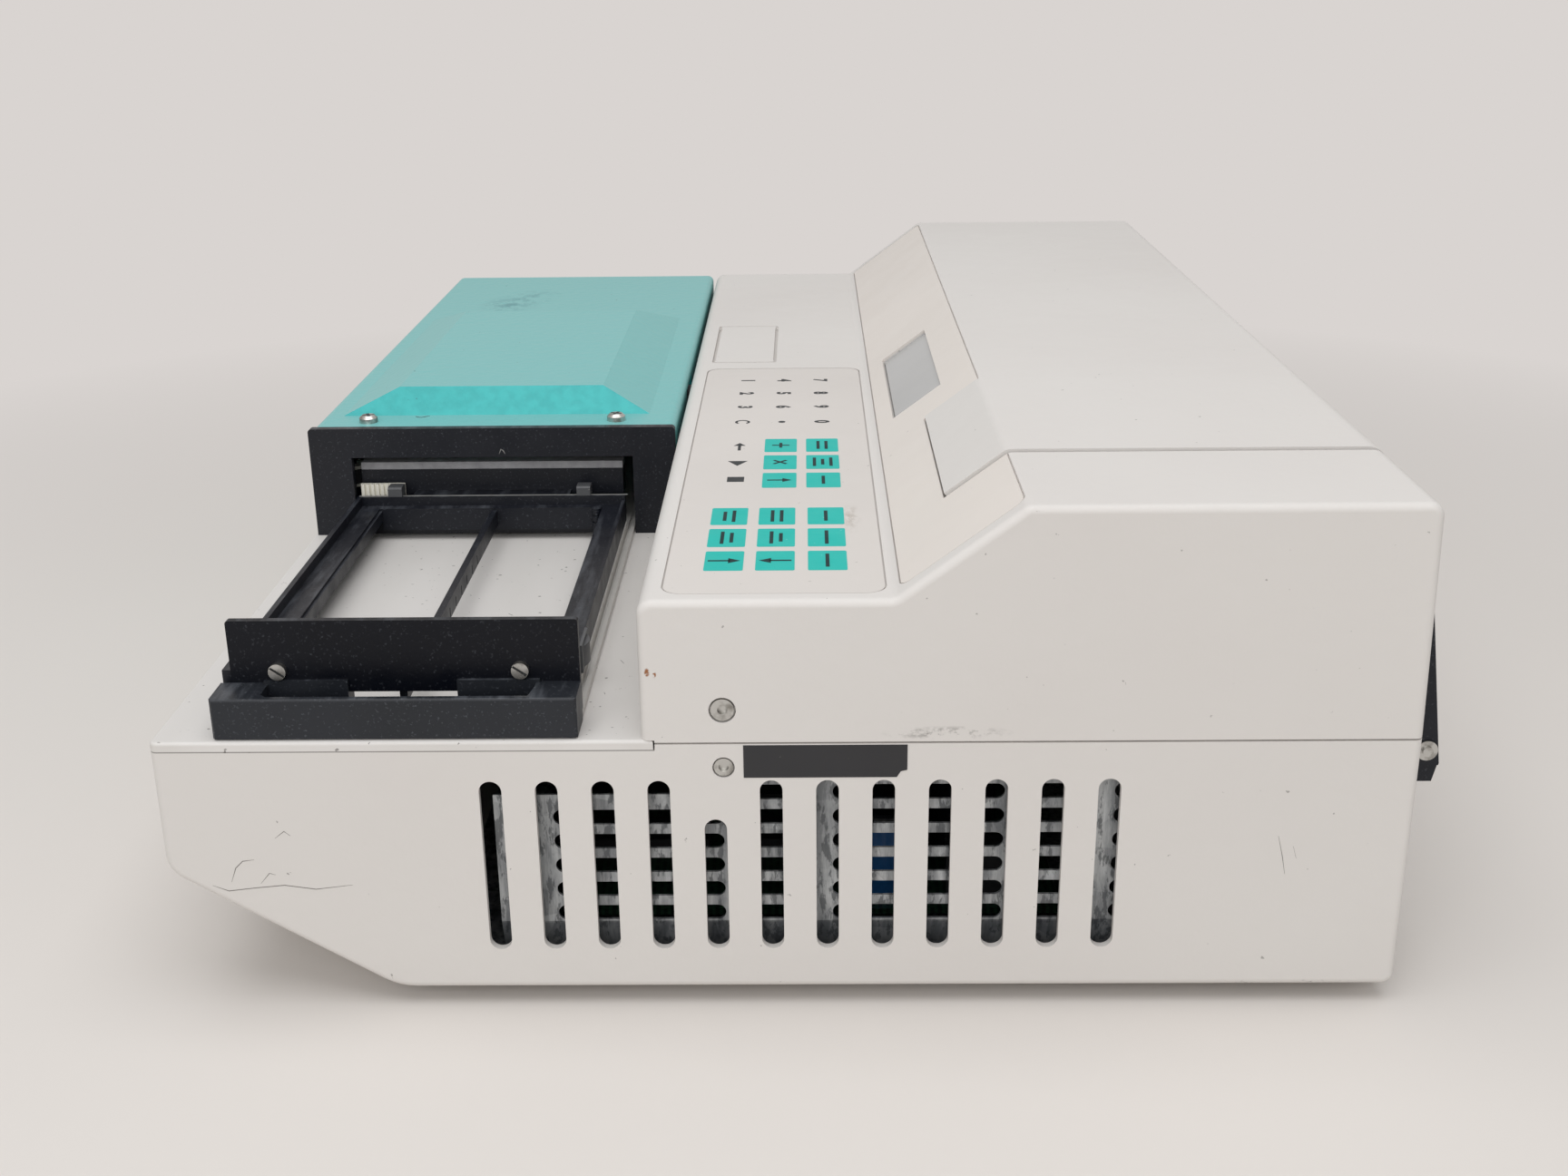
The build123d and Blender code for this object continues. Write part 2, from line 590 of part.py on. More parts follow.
def vent_screen():
    """Galvanised screen behind the vents, slotted in rows, with a foot on the chassis."""
    x = (SCREEN_X - SCREEN_T, SCREEN_X)
    outline = Polygon((SCREEN_Y[0], SCREEN_BEND_Z), (SCREEN_Y[0], SCREEN_Z[1]), (SCREEN_STEP_Y, SCREEN_Z[1]),
                      (SCREEN_STEP_Y, SCREEN_Z[2]), (SCREEN_Y[1], SCREEN_Z[2]), (SCREEN_Y[1], SCREEN_BEND_Z),
                      align=None)
    for row in range(SCREEN_ROWS):
        z = SCREEN_ROW_Z + row * SCREEN_ROW_PITCH
        for y, size in screen_slot_places():
            if z + SCREEN_SLOT_H < (SCREEN_Z[1] if y < SCREEN_STEP_Y - 1 else SCREEN_Z[2]):
                outline -= Pos(y + size / 2, z) * SlotOverall(size, SCREEN_SLOT_H)
    low = (x[0] - SCREEN_LEAN, x[1] - SCREEN_LEAN)
    foot_top = SCREEN_Z[0] + SCREEN_T
    lean = Polygon((x[0], SCREEN_BEND_Z), (x[1], SCREEN_BEND_Z), (low[1], SCREEN_Z[0]), (low[0] - 6, SCREEN_Z[0]),
                   (low[0] - 6, foot_top), (low[0], foot_top), align=None)
    return along_x(outline, x) + extrude(Plane.XZ.offset(-SCREEN_Y[0]) * lean, SCREEN_Y[1] - SCREEN_Y[0], dir=(0, 1, 0))


def chassis_plate():
    """Steel plate that carries the electronics, the fan and the optics."""
    plate = plate_xy((LEFT + 12, -10), (SLOPE_Y + 10, DEPTH - 12), CHASSIS_Z, 6)
    for x in (-118.0, LEFT / 2 - 30, LEFT + 60):
        plate -= Pos(x, 110, sum(CHASSIS_Z) / 2) * extrude(SlotOverall(70, 14, rotation=90), 4, both=True)
    return plate


BOARD_X = (-160.0, -20.0)
BOARD_Y = (92.0, 232.0)
BOARD_Z = 10.0
BOARD_T = 1.6


def main_board():
    """Main circuit board on pillars."""
    board = box(BOARD_X, BOARD_Y, (BOARD_Z, BOARD_Z + BOARD_T))
    pillars = [bar((x, y, CHASSIS_Z[1]), (0, 0, 1), BOARD_Z - CHASSIS_Z[1], 3)
               for x in grow(BOARD_X, -8) for y in grow(BOARD_Y, -8)]
    return group(board, *pillars)


def board_chips():
    """Integrated circuits and connectors on the main board."""
    z = BOARD_Z + BOARD_T
    chips = [box((x - 14, x), (y, y + 36), (z, z + 4)) for x in (-52.0, -80.0, -108.0) for y in (100.0, 146.0)]
    chips += [box((-150, -140), (100 + k * 42, 128 + k * 42), (z, z + 9)) for k in range(3)]
    chips += [box((-36, -28), (202, 224), (z, z + 14))]
    return group(*chips)


def filter_capacitors():
    """Blue smoothing capacitors, standing close to the vents."""
    z = BOARD_Z + BOARD_T
    cans = []
    for x, y, r, h in ((-33.0, 185.2, 9.5, 26.0), (-60.0, 208.0, 9.5, 26.0), (-84.0, 208.0, 6.0, 18.0)):
        can = bar((x, y, z), (0, 0, 1), h, r)
        cans.append(chamfer(can.edges().group_by(Axis.Z)[-1], 0.8))
    return group(*cans)


def transformer():
    """Mains transformer: laminated core with its winding."""
    x, y, z = (LEFT + 48, LEFT + 110), (206.0, 262.0), (CHASSIS_Z[1], 58.0)
    core = box(x, y, z)
    core -= box(grow(x, 1), grow(y, -13), (z[0] + 12, z[1] - 12))
    core += box(grow(x, 0), (y[0] + 24, y[1] - 24), z)
    coil = box(grow(x, 9), (y[0] + 13 + GAP, y[1] - 13 - GAP), (z[0] + 12 + GAP, z[1] - 12 - GAP))
    coil = fillet(coil.edges().filter_by(Axis.Z), 4)
    coil -= box(grow(x, 0), (y[0] + 24 - GAP, y[1] - 24 + GAP), grow(z, 1))
    return group(core, coil)


# ================================================================== rear panel and its fittings
INLET_X = LEFT + 52.0
SWITCH_X = LEFT + 92.0
FAN_X = LEFT + 162.0
FAN_SIZE = 50.0
PORT_X = -190.0
FITTING_Z = 36.0


def rear_panel():
    """Steel panel behind the opening of the rear wall."""
    y = (DEPTH - WALL - PANEL_T, DEPTH - WALL)
    panel = box(grow(PANEL_CUT_X, 4), y, grow(PANEL_CUT_Z, 3.5))
    panel -= box((INLET_X - 13.8, INLET_X + 13.8), grow(y, 1), (FITTING_Z - 10.2, FITTING_Z + 10.2))
    panel -= box((SWITCH_X - 10, SWITCH_X + 10), grow(y, 1), (FITTING_Z - 13, FITTING_Z + 13))
    panel -= box((PORT_X - 20, PORT_X + 20), grow(y, 1), (FITTING_Z - 5.5, FITTING_Z + 5.5))
    hole = extrude(Plane.XZ * (Pos(FAN_X, FITTING_Z - 2) * Circle(21)), -DEPTH - 1)
    for k in range(7):
        strip = box((FAN_X - 22, FAN_X + 22), grow(y, 1), (FITTING_Z - 22 + k * 6.2, FITTING_Z - 18.4 + k * 6.2))
        panel -= strip & hole
    return panel


def mains_inlet():
    """Appliance inlet: a recessed socket with three flat contacts."""
    y0 = DEPTH - WALL
    flange = box((INLET_X - 19, INLET_X + 19), (y0, y0 + 2.4), (FITTING_Z - 13.5, FITTING_Z + 13.5))
    body = box((INLET_X - 13.5, INLET_X + 13.5), (y0 - 22, y0 + 0.5), (FITTING_Z - 10, FITTING_Z + 10))
    well = box((INLET_X - 12, INLET_X + 12), (y0 - 16, y0 + 5), (FITTING_Z - 8, FITTING_Z + 8))
    body = flange + body - well
    for dx, dz in ((-7, -1.5), (0, 2.5), (7, -1.5)):
        body += box((INLET_X + dx - 1, INLET_X + dx + 1), (y0 - 17, y0 - 3),
                    (FITTING_Z + dz - 2, FITTING_Z + dz + 2))
    return body


SWITCH_TILT = 7.0        # either way from the middle; drawn switched off


def switch_frame():
    """Frame of the mains switch, with the well the rocker tips in."""
    y0 = DEPTH - WALL
    frame = box((SWITCH_X - 12, SWITCH_X + 12), (y0, y0 + 2), (FITTING_Z - 15, FITTING_Z + 15))
    frame += box((SWITCH_X - 9.8, SWITCH_X + 9.8), (y0 - 16, y0 + 0.5), (FITTING_Z - 12.8, FITTING_Z + 12.8))
    frame -= box((SWITCH_X - 8, SWITCH_X + 8), (y0 - 12, y0 + 5), (FITTING_Z - 11.4, FITTING_Z + 11.4))
    return frame + bar((SWITCH_X - 8.5, y0 - 2, FITTING_Z), (1, 0, 0), 17, 1.2)


def power_rocker():
    """Rocker with two faces that meet at a shallow angle."""
    y0 = DEPTH - WALL
    shape = Polygon((y0 - 5, FITTING_Z - 8.5), (y0 + 1.8, FITTING_Z - 10.3), (y0 + 0.6, FITTING_Z),
                    (y0 + 1.8, FITTING_Z + 10.3), (y0 - 5, FITTING_Z + 8.5), (y0 - 7.5, FITTING_Z), align=None)
    pivot = Pos(0, y0 - 2, FITTING_Z)
    rocker = pivot * Rot(-SWITCH_TILT, 0, 0) * pivot.inverse() * along_x(shape, (SWITCH_X - 7.6, SWITCH_X + 7.6))
    return rocker - bar((SWITCH_X - 9, y0 - 2, FITTING_Z), (1, 0, 0), 18, 1.2 + SEAT)


def serial_port():
    """Data connector: a D-shaped shell with a pin block, and two hex pillars."""
    y0 = DEPTH - WALL
    outline = Polygon((-19, 5), (19, 5), (17, -5), (-17, -5), align=None)
    here = Plane(origin=(PORT_X, y0, FITTING_Z), x_dir=(1, 0, 0), z_dir=(0, 1, 0))
    shell = extrude(here.offset(-8) * outline, 12.5, dir=(0, 1, 0))
    shell -= extrude(here.offset(-2) * offset(outline, -1.0), 8, dir=(0, 1, 0))
    flange = box((PORT_X - 27, PORT_X + 27), (y0, y0 + 0.9), (FITTING_Z - 6.2, FITTING_Z + 6.2))
    shell += flange - extrude(here.offset(-1) * outline, 3, dir=(0, 1, 0))
    for x in (-23.5, 23.5):
        post = Plane(origin=(PORT_X + x, y0 + 0.5, FITTING_Z), z_dir=(0, 1, 0)) * RegularPolygon(2.6, 6)
        shell += extrude(post, 4.5)
    return shell


def fan_frame():
    """Square fan frame on the inside of the rear panel, its motor held by three arms."""
    y = (DEPTH - WALL - PANEL_T - 15.0, DEPTH - WALL - PANEL_T)
    z = FITTING_Z - 2
    half = FAN_SIZE / 2
    frame = box((FAN_X - half, FAN_X + half), y, (z - half, z + half))
    frame -= bar((FAN_X, y[0] - 1, z), (0, 1, 0), y[1] - y[0] + 2, half - 2.5)
    hub = bar((FAN_X, y[1] - 3, z), (0, 1, 0), 3, 9)
    for k in range(3):
        arm = Pos(FAN_X, y[1] - 1.5, z) * Rot(0, 90 + 120 * k, 0) * Pos(half / 2 + 4, 0, 0) * Box(half - 2, 2.4, 2.6)
        hub += arm
    hub += bar((FAN_X, y[0] + 2, z), (0, 1, 0), y[1] - y[0] - 3, 1.5)
    return frame + hub


def fan_rotor():
    """Hub with seven twisted blades."""
    y0 = DEPTH - WALL - PANEL_T - 15.0
    z = FITTING_Z - 2
    hub = tube((FAN_X, y0 + 1.5, z), (0, 1, 0), 9.5, 9.5, 1.5 + SEAT)
    for k in range(7):
        blade = Pos(FAN_X, y0 + 6.2, z) * Rot(0, k * 360 / 7, 0) * Pos(15, 0, 0) * Rot(38, 0, 0) * Box(13.2, 1.2, 9)
        hub += blade
    return hub


# ================================================================== optics
def optics_bench():
    """Aluminium bench: lamp shelf, lens upright and wheel upright on one base."""
    y = (BEAM_Y - 26, BEAM_Y + 24)
    base = box((-122, -24), y, (CHASSIS_Z[1], CHASSIS_Z[1] + 2.5))
    lens_wall = box((-85, -82), y, (CHASSIS_Z[1], BEAM_Z + 16))
    wheel_wall = box((-117, -114), y, (CHASSIS_Z[1], BEAM_Z + 16))
    shelf = box((-84, -24), y, (BEAM_Z - 25, BEAM_Z - 22))
    leg = box((-27, -24), y, (CHASSIS_Z[1], BEAM_Z - 22))
    bench = base + lens_wall + wheel_wall + shelf + leg
    bench -= bar((-90, BEAM_Y, BEAM_Z), (1, 0, 0), 20, 9 + SEAT)
    bench -= bar((-120, BEAM_Y, BEAM_Z), (1, 0, 0), 10, 5 + SEAT)
    return bench - bar((-120, BEAM_Y, BEAM_Z - FILTER_RING), (1, 0, 0), 10, 3)


def lamp_house():
    """Finned lamp housing on the shelf, open towards the lens."""
    y, z = (BEAM_Y - 21, BEAM_Y + 21), (BEAM_Z - 22, BEAM_Z + 16)
    house = box((-80, -26), y, z)
    house -= box((-77, -29), grow(y, -3), grow(z, -3))
    house -= bar((-82, BEAM_Y, BEAM_Z), (1, 0, 0), 8, 9)
    for k in range(6):
        house -= box((-30 - k * 8, -26.5 - k * 8), (y[0] - 1, y[0] + 1.6), grow(z, -5))
    return house


def halogen_lamp():
    """Halogen bulb with its reflector and ceramic base."""
    base = box((-41, -29), (BEAM_Y - 6, BEAM_Y + 6), (BEAM_Z - 19, BEAM_Z + 5))
    outline = Polygon((0, 0), (5, 0), (12.6, 14), (11.4, 14), (4, 2), (0, 2), align=None)
    reflector = revolve(Plane.XZ * outline, Axis.Z)
    reflector = Pos(-41, BEAM_Y, BEAM_Z) * Rot(0, -90, 0) * reflector
    bulb = bar((-43, BEAM_Y, BEAM_Z), (-1, 0, 0), 9, 3)
    return base + reflector + bulb


def condenser_lens():
    """Lens in its ring, seated in the bench's upright."""
    ring = tube((-88, BEAM_Y, BEAM_Z), (1, 0, 0), 8, 9, 7.6)
    glass = bar((-86, BEAM_Y, BEAM_Z), (1, 0, 0), 4, 7.6)
    return ring + glass


def filter_places():
    z0 = BEAM_Z - FILTER_RING
    return [(BEAM_Y + FILTER_RING * sin(k * 2 * pi / FILTER_COUNT), z0 + FILTER_RING * cos(k * 2 * pi / FILTER_COUNT))
            for k in range(FILTER_COUNT)]


def filter_wheel():
    """Wheel with six filter seats on the motor's shaft."""
    z0 = BEAM_Z - FILTER_RING
    wheel = bar((WHEEL_X[0], BEAM_Y, z0), (1, 0, 0), WHEEL_X[1] - WHEEL_X[0], WHEEL_R)
    wheel += bar((WHEEL_X[0] - 8, BEAM_Y, z0), (1, 0, 0), 9, 6)
    wheel -= bar((WHEEL_X[0] - 9, BEAM_Y, z0), (1, 0, 0), 20, 2 + SEAT)
    for y, z in filter_places():
        wheel -= bar((WHEEL_X[0] - 1, y, z), (1, 0, 0), 8, FILTER_R + 0.02)
    return wheel


def wheel_filters():
    """Six interference filters in the wheel."""
    return group(*[bar((WHEEL_X[0] + 0.4, y, z), (1, 0, 0), 3.2, FILTER_R) for y, z in filter_places()])


def wheel_motor():
    """Stepper motor of the filter wheel on the bench's upright."""
    z0 = BEAM_Z - FILTER_RING
    motor = bar((-141, BEAM_Y, z0), (1, 0, 0), 24, 14)
    return motor + bar((-118, BEAM_Y, z0), (1, 0, 0), 21, 2)


def fibre_bundle():
    """Fibre light guide from the filter wheel to the measuring head, in its sheath."""
    head_x = HEAD_X[0] - 0.1
    start_x = WHEEL_X[0] - 30
    route = [(start_x, BEAM_Y, BEAM_Z), (-190, BEAM_Y, BEAM_Z), (-238, 200, 88), (-238, 130, 99),
             (-238, 61.5, 104), (head_x, 61.5, 104)]
    path = FilletPolyline(*route, radius=[40, 60, 60, 20])
    sheath = sweep(Plane(origin=route[0], z_dir=(-1, 0, 0)) * Circle(FIBRE_R), path)
    ferrule = bar((start_x, BEAM_Y, BEAM_Z), (1, 0, 0), 23.5, 5)
    return group(sheath, ferrule)


def measuring_head():
    """Cantilevered head over the plate's path: eight light channels, held by one pillar."""
    x = HEAD_X
    pillar = box((x[0] - 6, x[1]), (110, 118.2), (DECK_Z, HEAD_Z + 6.5))
    arm = box(x, (20, 118.2), (HEAD_Z, HEAD_Z + 6.5))
    block = box(x, (30, 93), (HEAD_Z, HEAD_Z + 11.5))
    head = pillar + arm + block
    centre = sum(POCKET_Y) / 2
    for k in range(HEAD_ROWS):
        y = centre + (k - (HEAD_ROWS - 1) / 2) * WELL_PITCH
        head -= bar((sum(x) / 2, y, HEAD_Z - 1), (0, 0, 1), 6, LIGHT_HOLE_R)
    return head


def detector_board():
    """Detector board under the deck with one photodiode can for each channel."""
    x = (sum(HEAD_X) / 2 - 14, sum(HEAD_X) / 2 + 14)
    top = DECK_Z - DECK_T
    board = box(x, (22, 100), (top - 9.6, top - 8))
    centre = sum(POCKET_Y) / 2
    parts = [board]
    for k in range(HEAD_ROWS):
        y = centre + (k - (HEAD_ROWS - 1) / 2) * WELL_PITCH
        parts.append(bar((sum(HEAD_X) / 2, y, top - 8), (0, 0, 1), 5, 3.2))
    parts += [bar((px, py, top - 8), (0, 0, 1), 8, 2.4) for px in grow(x, -4) for py in (25.5, 96.5)]
    return group(*parts)


# ================================================================== carriage drive
def drive_motor():
    """Small geared motor under the deck; its shaft carries the drive pulley."""
    top = DECK_Z - DECK_T
    motor = bar((DRIVE_X, PULLEY_Y, top), (0, 0, -1), MOTOR_L, MOTOR_R)
    return motor + bar((DRIVE_X, PULLEY_Y, top - 1), (0, 0, 1), BELT_Z[1] - top + 2, 1.5)


def toothed_pulley(x):
    """Belt pulley with two flanges and a toothed barrel."""
    z = (BELT_Z[0] - GAP, BELT_Z[1] + GAP)
    barrel = Circle(PULLEY_R)
    for k in range(PULLEY_TEETH):
        turn = 2 * pi * k / PULLEY_TEETH
        barrel -= Pos(PULLEY_R * cos(turn), PULLEY_R * sin(turn)) * Rot(0, 0, degrees(turn)) * Rectangle(1.1, 0.9)
    wheel = extrude(Pos(x, PULLEY_Y, z[0]) * barrel, z[1] - z[0])
    for level in (z[0] - 0.9, z[1]):
        wheel += bar((x, PULLEY_Y, level), (0, 0, 1), 0.9, PULLEY_R + 0.9)
    return wheel - bar((x, PULLEY_Y, z[0] - 3), (0, 0, 1), 20, 1.5 + SEAT)


def drive_pulley():
    return toothed_pulley(DRIVE_X)


def idler_pulley():
    return toothed_pulley(IDLER_X)


def drive_belt():
    """Closed belt round both pulleys."""
    inner = PULLEY_R + GAP
    middle = (DRIVE_X + IDLER_X) / 2
    span = IDLER_X - DRIVE_X
    loop = SlotCenterToCenter(span, 2 * (inner + BELT_T)) - SlotCenterToCenter(span, 2 * inner)
    return extrude(Pos(middle, PULLEY_Y, BELT_Z[0]) * loop, BELT_Z[1] - BELT_Z[0])


ROD_X = (DRIVE_X + 9.0, IDLER_X - 8.0)


def guide_rod():
    """Ground rod that guides the carriage."""
    rod = bar((ROD_X[0], ROD_Y, ROD_Z), (1, 0, 0), ROD_X[1] - ROD_X[0], ROD_R)
    return chamfer(rod.edges().filter_by(GeomType.CIRCLE), 0.4)


def deck_pillars():
    """Blocks at both ends of the rod, and the idler pulley's post."""
    parts = []
    for x in ((ROD_X[0] + 1, ROD_X[0] + 6), (ROD_X[1] - 6, ROD_X[1] - 1)):
        block = box(x, (ROD_Y - 4.4, ROD_Y + 4.4), (DECK_Z, ROD_Z + 4.2))
        parts.append(block - bar((x[0] - 1, ROD_Y, ROD_Z), (1, 0, 0), 9, ROD_R + 0.02))
    post = bar((IDLER_X, PULLEY_Y, DECK_Z), (0, 0, 1), BELT_Z[1] - DECK_Z + 2, 1.5)
    shoulder = BELT_Z[0] - GAP - 0.9 - DECK_Z - 0.2
    parts.append(post + bar((IDLER_X, PULLEY_Y, DECK_Z), (0, 0, 1), shoulder, 3))
    return group(*parts)


# ================================================================== plate carriage
def plate_carrier():
    """Open tray: ledges that carry the plate, walls round them and a slotted middle rib."""
    x0, x1 = CARRIER_X
    y0, y1 = POCKET_Y
    outer_l, outer_r = y0 - CARRIER_WALL, y1 + 1.1
    left = box((x0, x1), (outer_l, y0), (CARRIER_Z0, CARRIER_TOP))
    left += box((x0, x1), (y0 - 0.1, y0 + LEDGE_L), (LEDGE_Z - LEDGE_T, LEDGE_Z))
    left += box((x0, x1), (y0 + LEDGE_L - 1.4, y0 + LEDGE_L), (SKIRT_Z, LEDGE_Z))
    left -= box((x0 - 1, x1 + 1), (y0 + LEDGE_L - 0.9, y0 + LEDGE_L + 1), (LEDGE_Z - 0.8, LEDGE_Z + 1))
    right = box((x0, x1), (y1, outer_r), (CARRIER_Z0 + 3.6, LEDGE_Z + 1.4))
    right += box((x0, x1), (y1 - LEDGE_R, y1 + 0.1), (LEDGE_Z - LEDGE_T, LEDGE_Z))
    right += box((x0, x1), (y1 - 1.6, y1 + 0.1), (CARRIER_Z0, LEDGE_Z))
    far = box((x0, x0 + 2), (outer_l, outer_r), (CARRIER_Z0, CARRIER_TOP))
    far += box((x0, x0 + 5.2), (y0, y1), (LEDGE_Z - LEDGE_T, LEDGE_Z))
    far += box((x0 + 3.8, x0 + 5.2), (y0 + LEDGE_L, y1 - LEDGE_R), (FAR_SKIRT_Z, LEDGE_Z))
    near = box((x1 - 2.4, x1), (outer_l, outer_r), (CARRIER_Z0, FACE_SCREW_Z + 4))
    stop = x0 + 2 + PLATE_L + POCKET_GAP
    near += box((stop, x1), (y0, y0 + LEDGE_L), (LEDGE_Z - LEDGE_T, LEDGE_Z + 2.5))
    near += box((stop, x1), (y1 - LEDGE_R, y1), (LEDGE_Z - LEDGE_T, LEDGE_Z + 2.5))
    near -= box((x1 - 5, x1 + 1), WINDOW_Y, (CARRIER_Z0 - 1, WINDOW_Z))
    near -= box((x1 - 5, x1 + 1), (outer_l - 1, FACE_Y[0]), (CARRIER_TOP, FACE_SCREW_Z + 5))
    near -= box((x1 - 5, x1 + 1), (FACE_SCREW_Y[0] + 6, FACE_SCREW_Y[1] - 6), (LEDGE_Z + 1, FACE_SCREW_Z + 9))
    rib = box((x0 + 4, x1 - 0.5), (RIB_Y - RIB_T / 2, RIB_Y + RIB_T / 2), (RIB_Z, LEDGE_Z - 0.8))
    for k in range(ENCODER_COUNT):
        slot_x = ENCODER_X + k * WELL_PITCH
        if slot_x < x1 - 6:
            rib -= box((slot_x - 0.35, slot_x + 0.35), grow((RIB_Y, RIB_Y), RIB_T), (RIB_Z - 1, RIB_Z + 3.2))
    tray = left + right + far + near + rib
    tray -= box(grow(CARRIER_X, 1), (y1 + 0.1, outer_r + 1), (CARRIER_Z0 - 1, CARRIER_Z0 + 3.6))
    for y in FACE_SCREW_Y:
        tray -= bar((x1 - 6, y, FACE_SCREW_Z), (1, 0, 0), 8, 1.25 + SEAT)
    return tray


def carrier_front_plate():
    """Upright plate that closes the doorway when the carriage is in."""
    outline = Pos(sum(FACE_Y) / 2, sum(FACE_Z) / 2) * Rectangle(FACE_Y[1] - FACE_Y[0], FACE_Z[1] - FACE_Z[0])
    outline = fillet(outline.vertices().group_by(Axis.Y)[-1], 0.8)
    plate = along_x(outline, FACE_X)
    plate -= box(grow(FACE_X, 1), WINDOW_Y, (FACE_Z[0] - 1, WINDOW_Z))
    for y in FACE_SCREW_Y:
        plate -= bar((FACE_X[0] - 1, y, FACE_SCREW_Z), (1, 0, 0), 4, 1.4)
    return plate


def front_plate_screws():
    """Slotted cheese head screws that hold the front plate."""
    screws = []
    for y in FACE_SCREW_Y:
        head = bar((FACE_X[1], y, FACE_SCREW_Z), (1, 0, 0), 1.7, 2.2)
        slot = Pos(FACE_X[1] + 1.6, y, FACE_SCREW_Z) * Rot(-35, 0, 0) * Box(1.4, 6, 0.6)
        screws.append(head - slot + bar((FACE_X[1], y, FACE_SCREW_Z), (-1, 0, 0), 4.2, 1.25))
    return group(*screws)


def handle_bar():
    """Grip along the front: solid ends, a front lip and an open recess for the fingers."""
    outline = Pos(sum(BAR_X) / 2, sum(BAR_Y) / 2) * Rectangle(BAR_X[1] - BAR_X[0], BAR_Y[1] - BAR_Y[0])
    front = [v for v in outline.vertices() if v.X > BAR_X[1] - 0.1]
    outline = chamfer(front, 0.6)
    grip = extrude(Plane.XY.offset(BAR_Z[0]) * outline, BAR_Z[1] - BAR_Z[0])
    grip = fillet(grip.faces().sort_by(Axis.Z)[-1].edges().sort_by(Axis.X)[-1], 0.7)
    inner_y = (BAR_Y[0] + BAR_END_L, BAR_Y[1] - BAR_END_R)
    inner_x = (BAR_X[0] - 1, BAR_X[1] - BAR_LIP)
    recess = Polygon((inner_x[0], inner_y[0]), (inner_x[1] - 1.5, inner_y[0]), (inner_x[1], inner_y[0] + 1.5),
                     (inner_x[1], inner_y[1] - 1.0), (BAR_X[0] + 3.5, inner_y[1]), (inner_x[0], inner_y[1]), align=None)
    grip -= upright(recess, (BAR_Z[0] + 2.4, BAR_Z[1] + 3))
    grip += box((BAR_X[0] - 0.0, BAR_X[0] + 1.0), (inner_y[0] - 1, WINDOW_Y[0]), (BAR_Z[0], BAR_Z[1] + 0.8))
    grip += box((BAR_X[0] - 0.0, BAR_X[0] + 1.0), (WINDOW_Y[1], inner_y[1] + 1), (BAR_Z[0], BAR_Z[1] + 0.8))
    return grip - box((BAR_X[0] - 1, BAR_X[0] + 5), WINDOW_Y, (BAR_Z[0] - 1, BAR_Z[1] + 3))


def light_shield():
    """Bar across the carriage's inner end; it keeps daylight out of the doorway.

    Its arm reaches inwards to the bushes on the rod and grips the belt."""
    shield = box(SHIELD_X, SHIELD_Y, SHIELD_Z)
    foot_x = (SHIELD_X[1] - 0.1, CARRIER_X[0])
    shield += box(foot_x, (34, 86), (SHIELD_Z[0], SHIELD_Z[0] + 1.5))
    shield -= box((SHIELD_X[0] - 1, SHIELD_X[0] + 4.5), grow(SHIELD_Y, -3), (SHIELD_Z[0] - 1, SHIELD_Z[1] - 2))
    x_end = bush_places()[0]
    wall_y = (BELT_Y + BELT_T / 2 + GAP + 0.2, BELT_Y + BELT_T / 2 + GAP + 2.2)
    shield += box((x_end, CARRIER_X[0]), wall_y, (CARRIER_Z0 + 1, SHIELD_Z[0] + 0.1))
    for x in bush_places():
        hold = box((x, x + BUSH_L), (ROD_Y, wall_y[0] + 0.1), (ROD_Z - BUSH_R - 0.2, ROD_Z + BUSH_R))
        shield += hold - bar((x - 1, ROD_Y, ROD_Z), (1, 0, 0), BUSH_L + 2, BUSH_R + 0.02)
    shield += box((x_end, x_end + 8), (BELT_Y + BELT_T / 2 + 0.3, wall_y[1]), (SHIELD_Z[0] - 0.1, BELT_Z[1] + 0.8))
    return shield


def shield_foam():
    """Foam strip on the light shield."""
    return box(grow(SHIELD_X, -0.3), SHIELD_Y, (SHIELD_Z[1], SHIELD_Z[1] + FOAM_H))


def belt_clips():
    """Two grey clips on the back of the tray's inner wall."""
    clips = []
    for y in (CLIP_Y[:2], CLIP_Y[2:]):
        clip = box((CARRIER_X[0] - 3.4, CARRIER_X[0] + 2), y, CLIP_Z)
        clip += box((CARRIER_X[0] - 3.4, CARRIER_X[0]), y, (CLIP_Z[0] - 3, CLIP_Z[1]))
        clips.append(chamfer(clip.edges().filter_by(Axis.Y).group_by(Axis.Z)[-1], 0.5))
    return group(*clips)


def belt_end():
    """Free end of the toothed belt, laid behind the first clip."""
    z = (SHIELD_Z[0] + 0.6, CLIP_Z[1] - 0.1)
    x = CARRIER_X[0] - 4.3
    strip = box((x, x + 0.9), (SHIELD_Y[0], CLIP_Y[1]), z)
    for k in range(6):
        y = SHIELD_Y[0] + 0.4 + k * 1.6
        strip += box((x + 0.8, x + 1.7), (y, y + 0.9), z)
    return strip


def bush_places():
    near = ROD_X[1] - 16.0
    return (near - 26.0, near)


def slide_bushes():
    """Two plain bushes running on the rod."""
    return group(*[tube((x, ROD_Y, ROD_Z), (1, 0, 0), BUSH_L, BUSH_R, ROD_R + SEAT) for x in bush_places()])


def slide_rail():
    """Grooved rail under the tray's right wall; it glides on the deck."""
    x = (SHIELD_X[0], FACE_X[0] - 0.2)
    rail = box(x, RAIL_Y, RAIL_Z)
    rail += box((CARRIER_X[0] + 2, CARRIER_X[1] - 2.4), (RAIL_Y[0], RAIL_GROOVE[0]), (RAIL_Z[0], CARRIER_Z0 + 3.6))
    return rail - box(grow(x, 1), RAIL_GROOVE, (RAIL_Z[0] + 0.7, CARRIER_Z0 + 5))


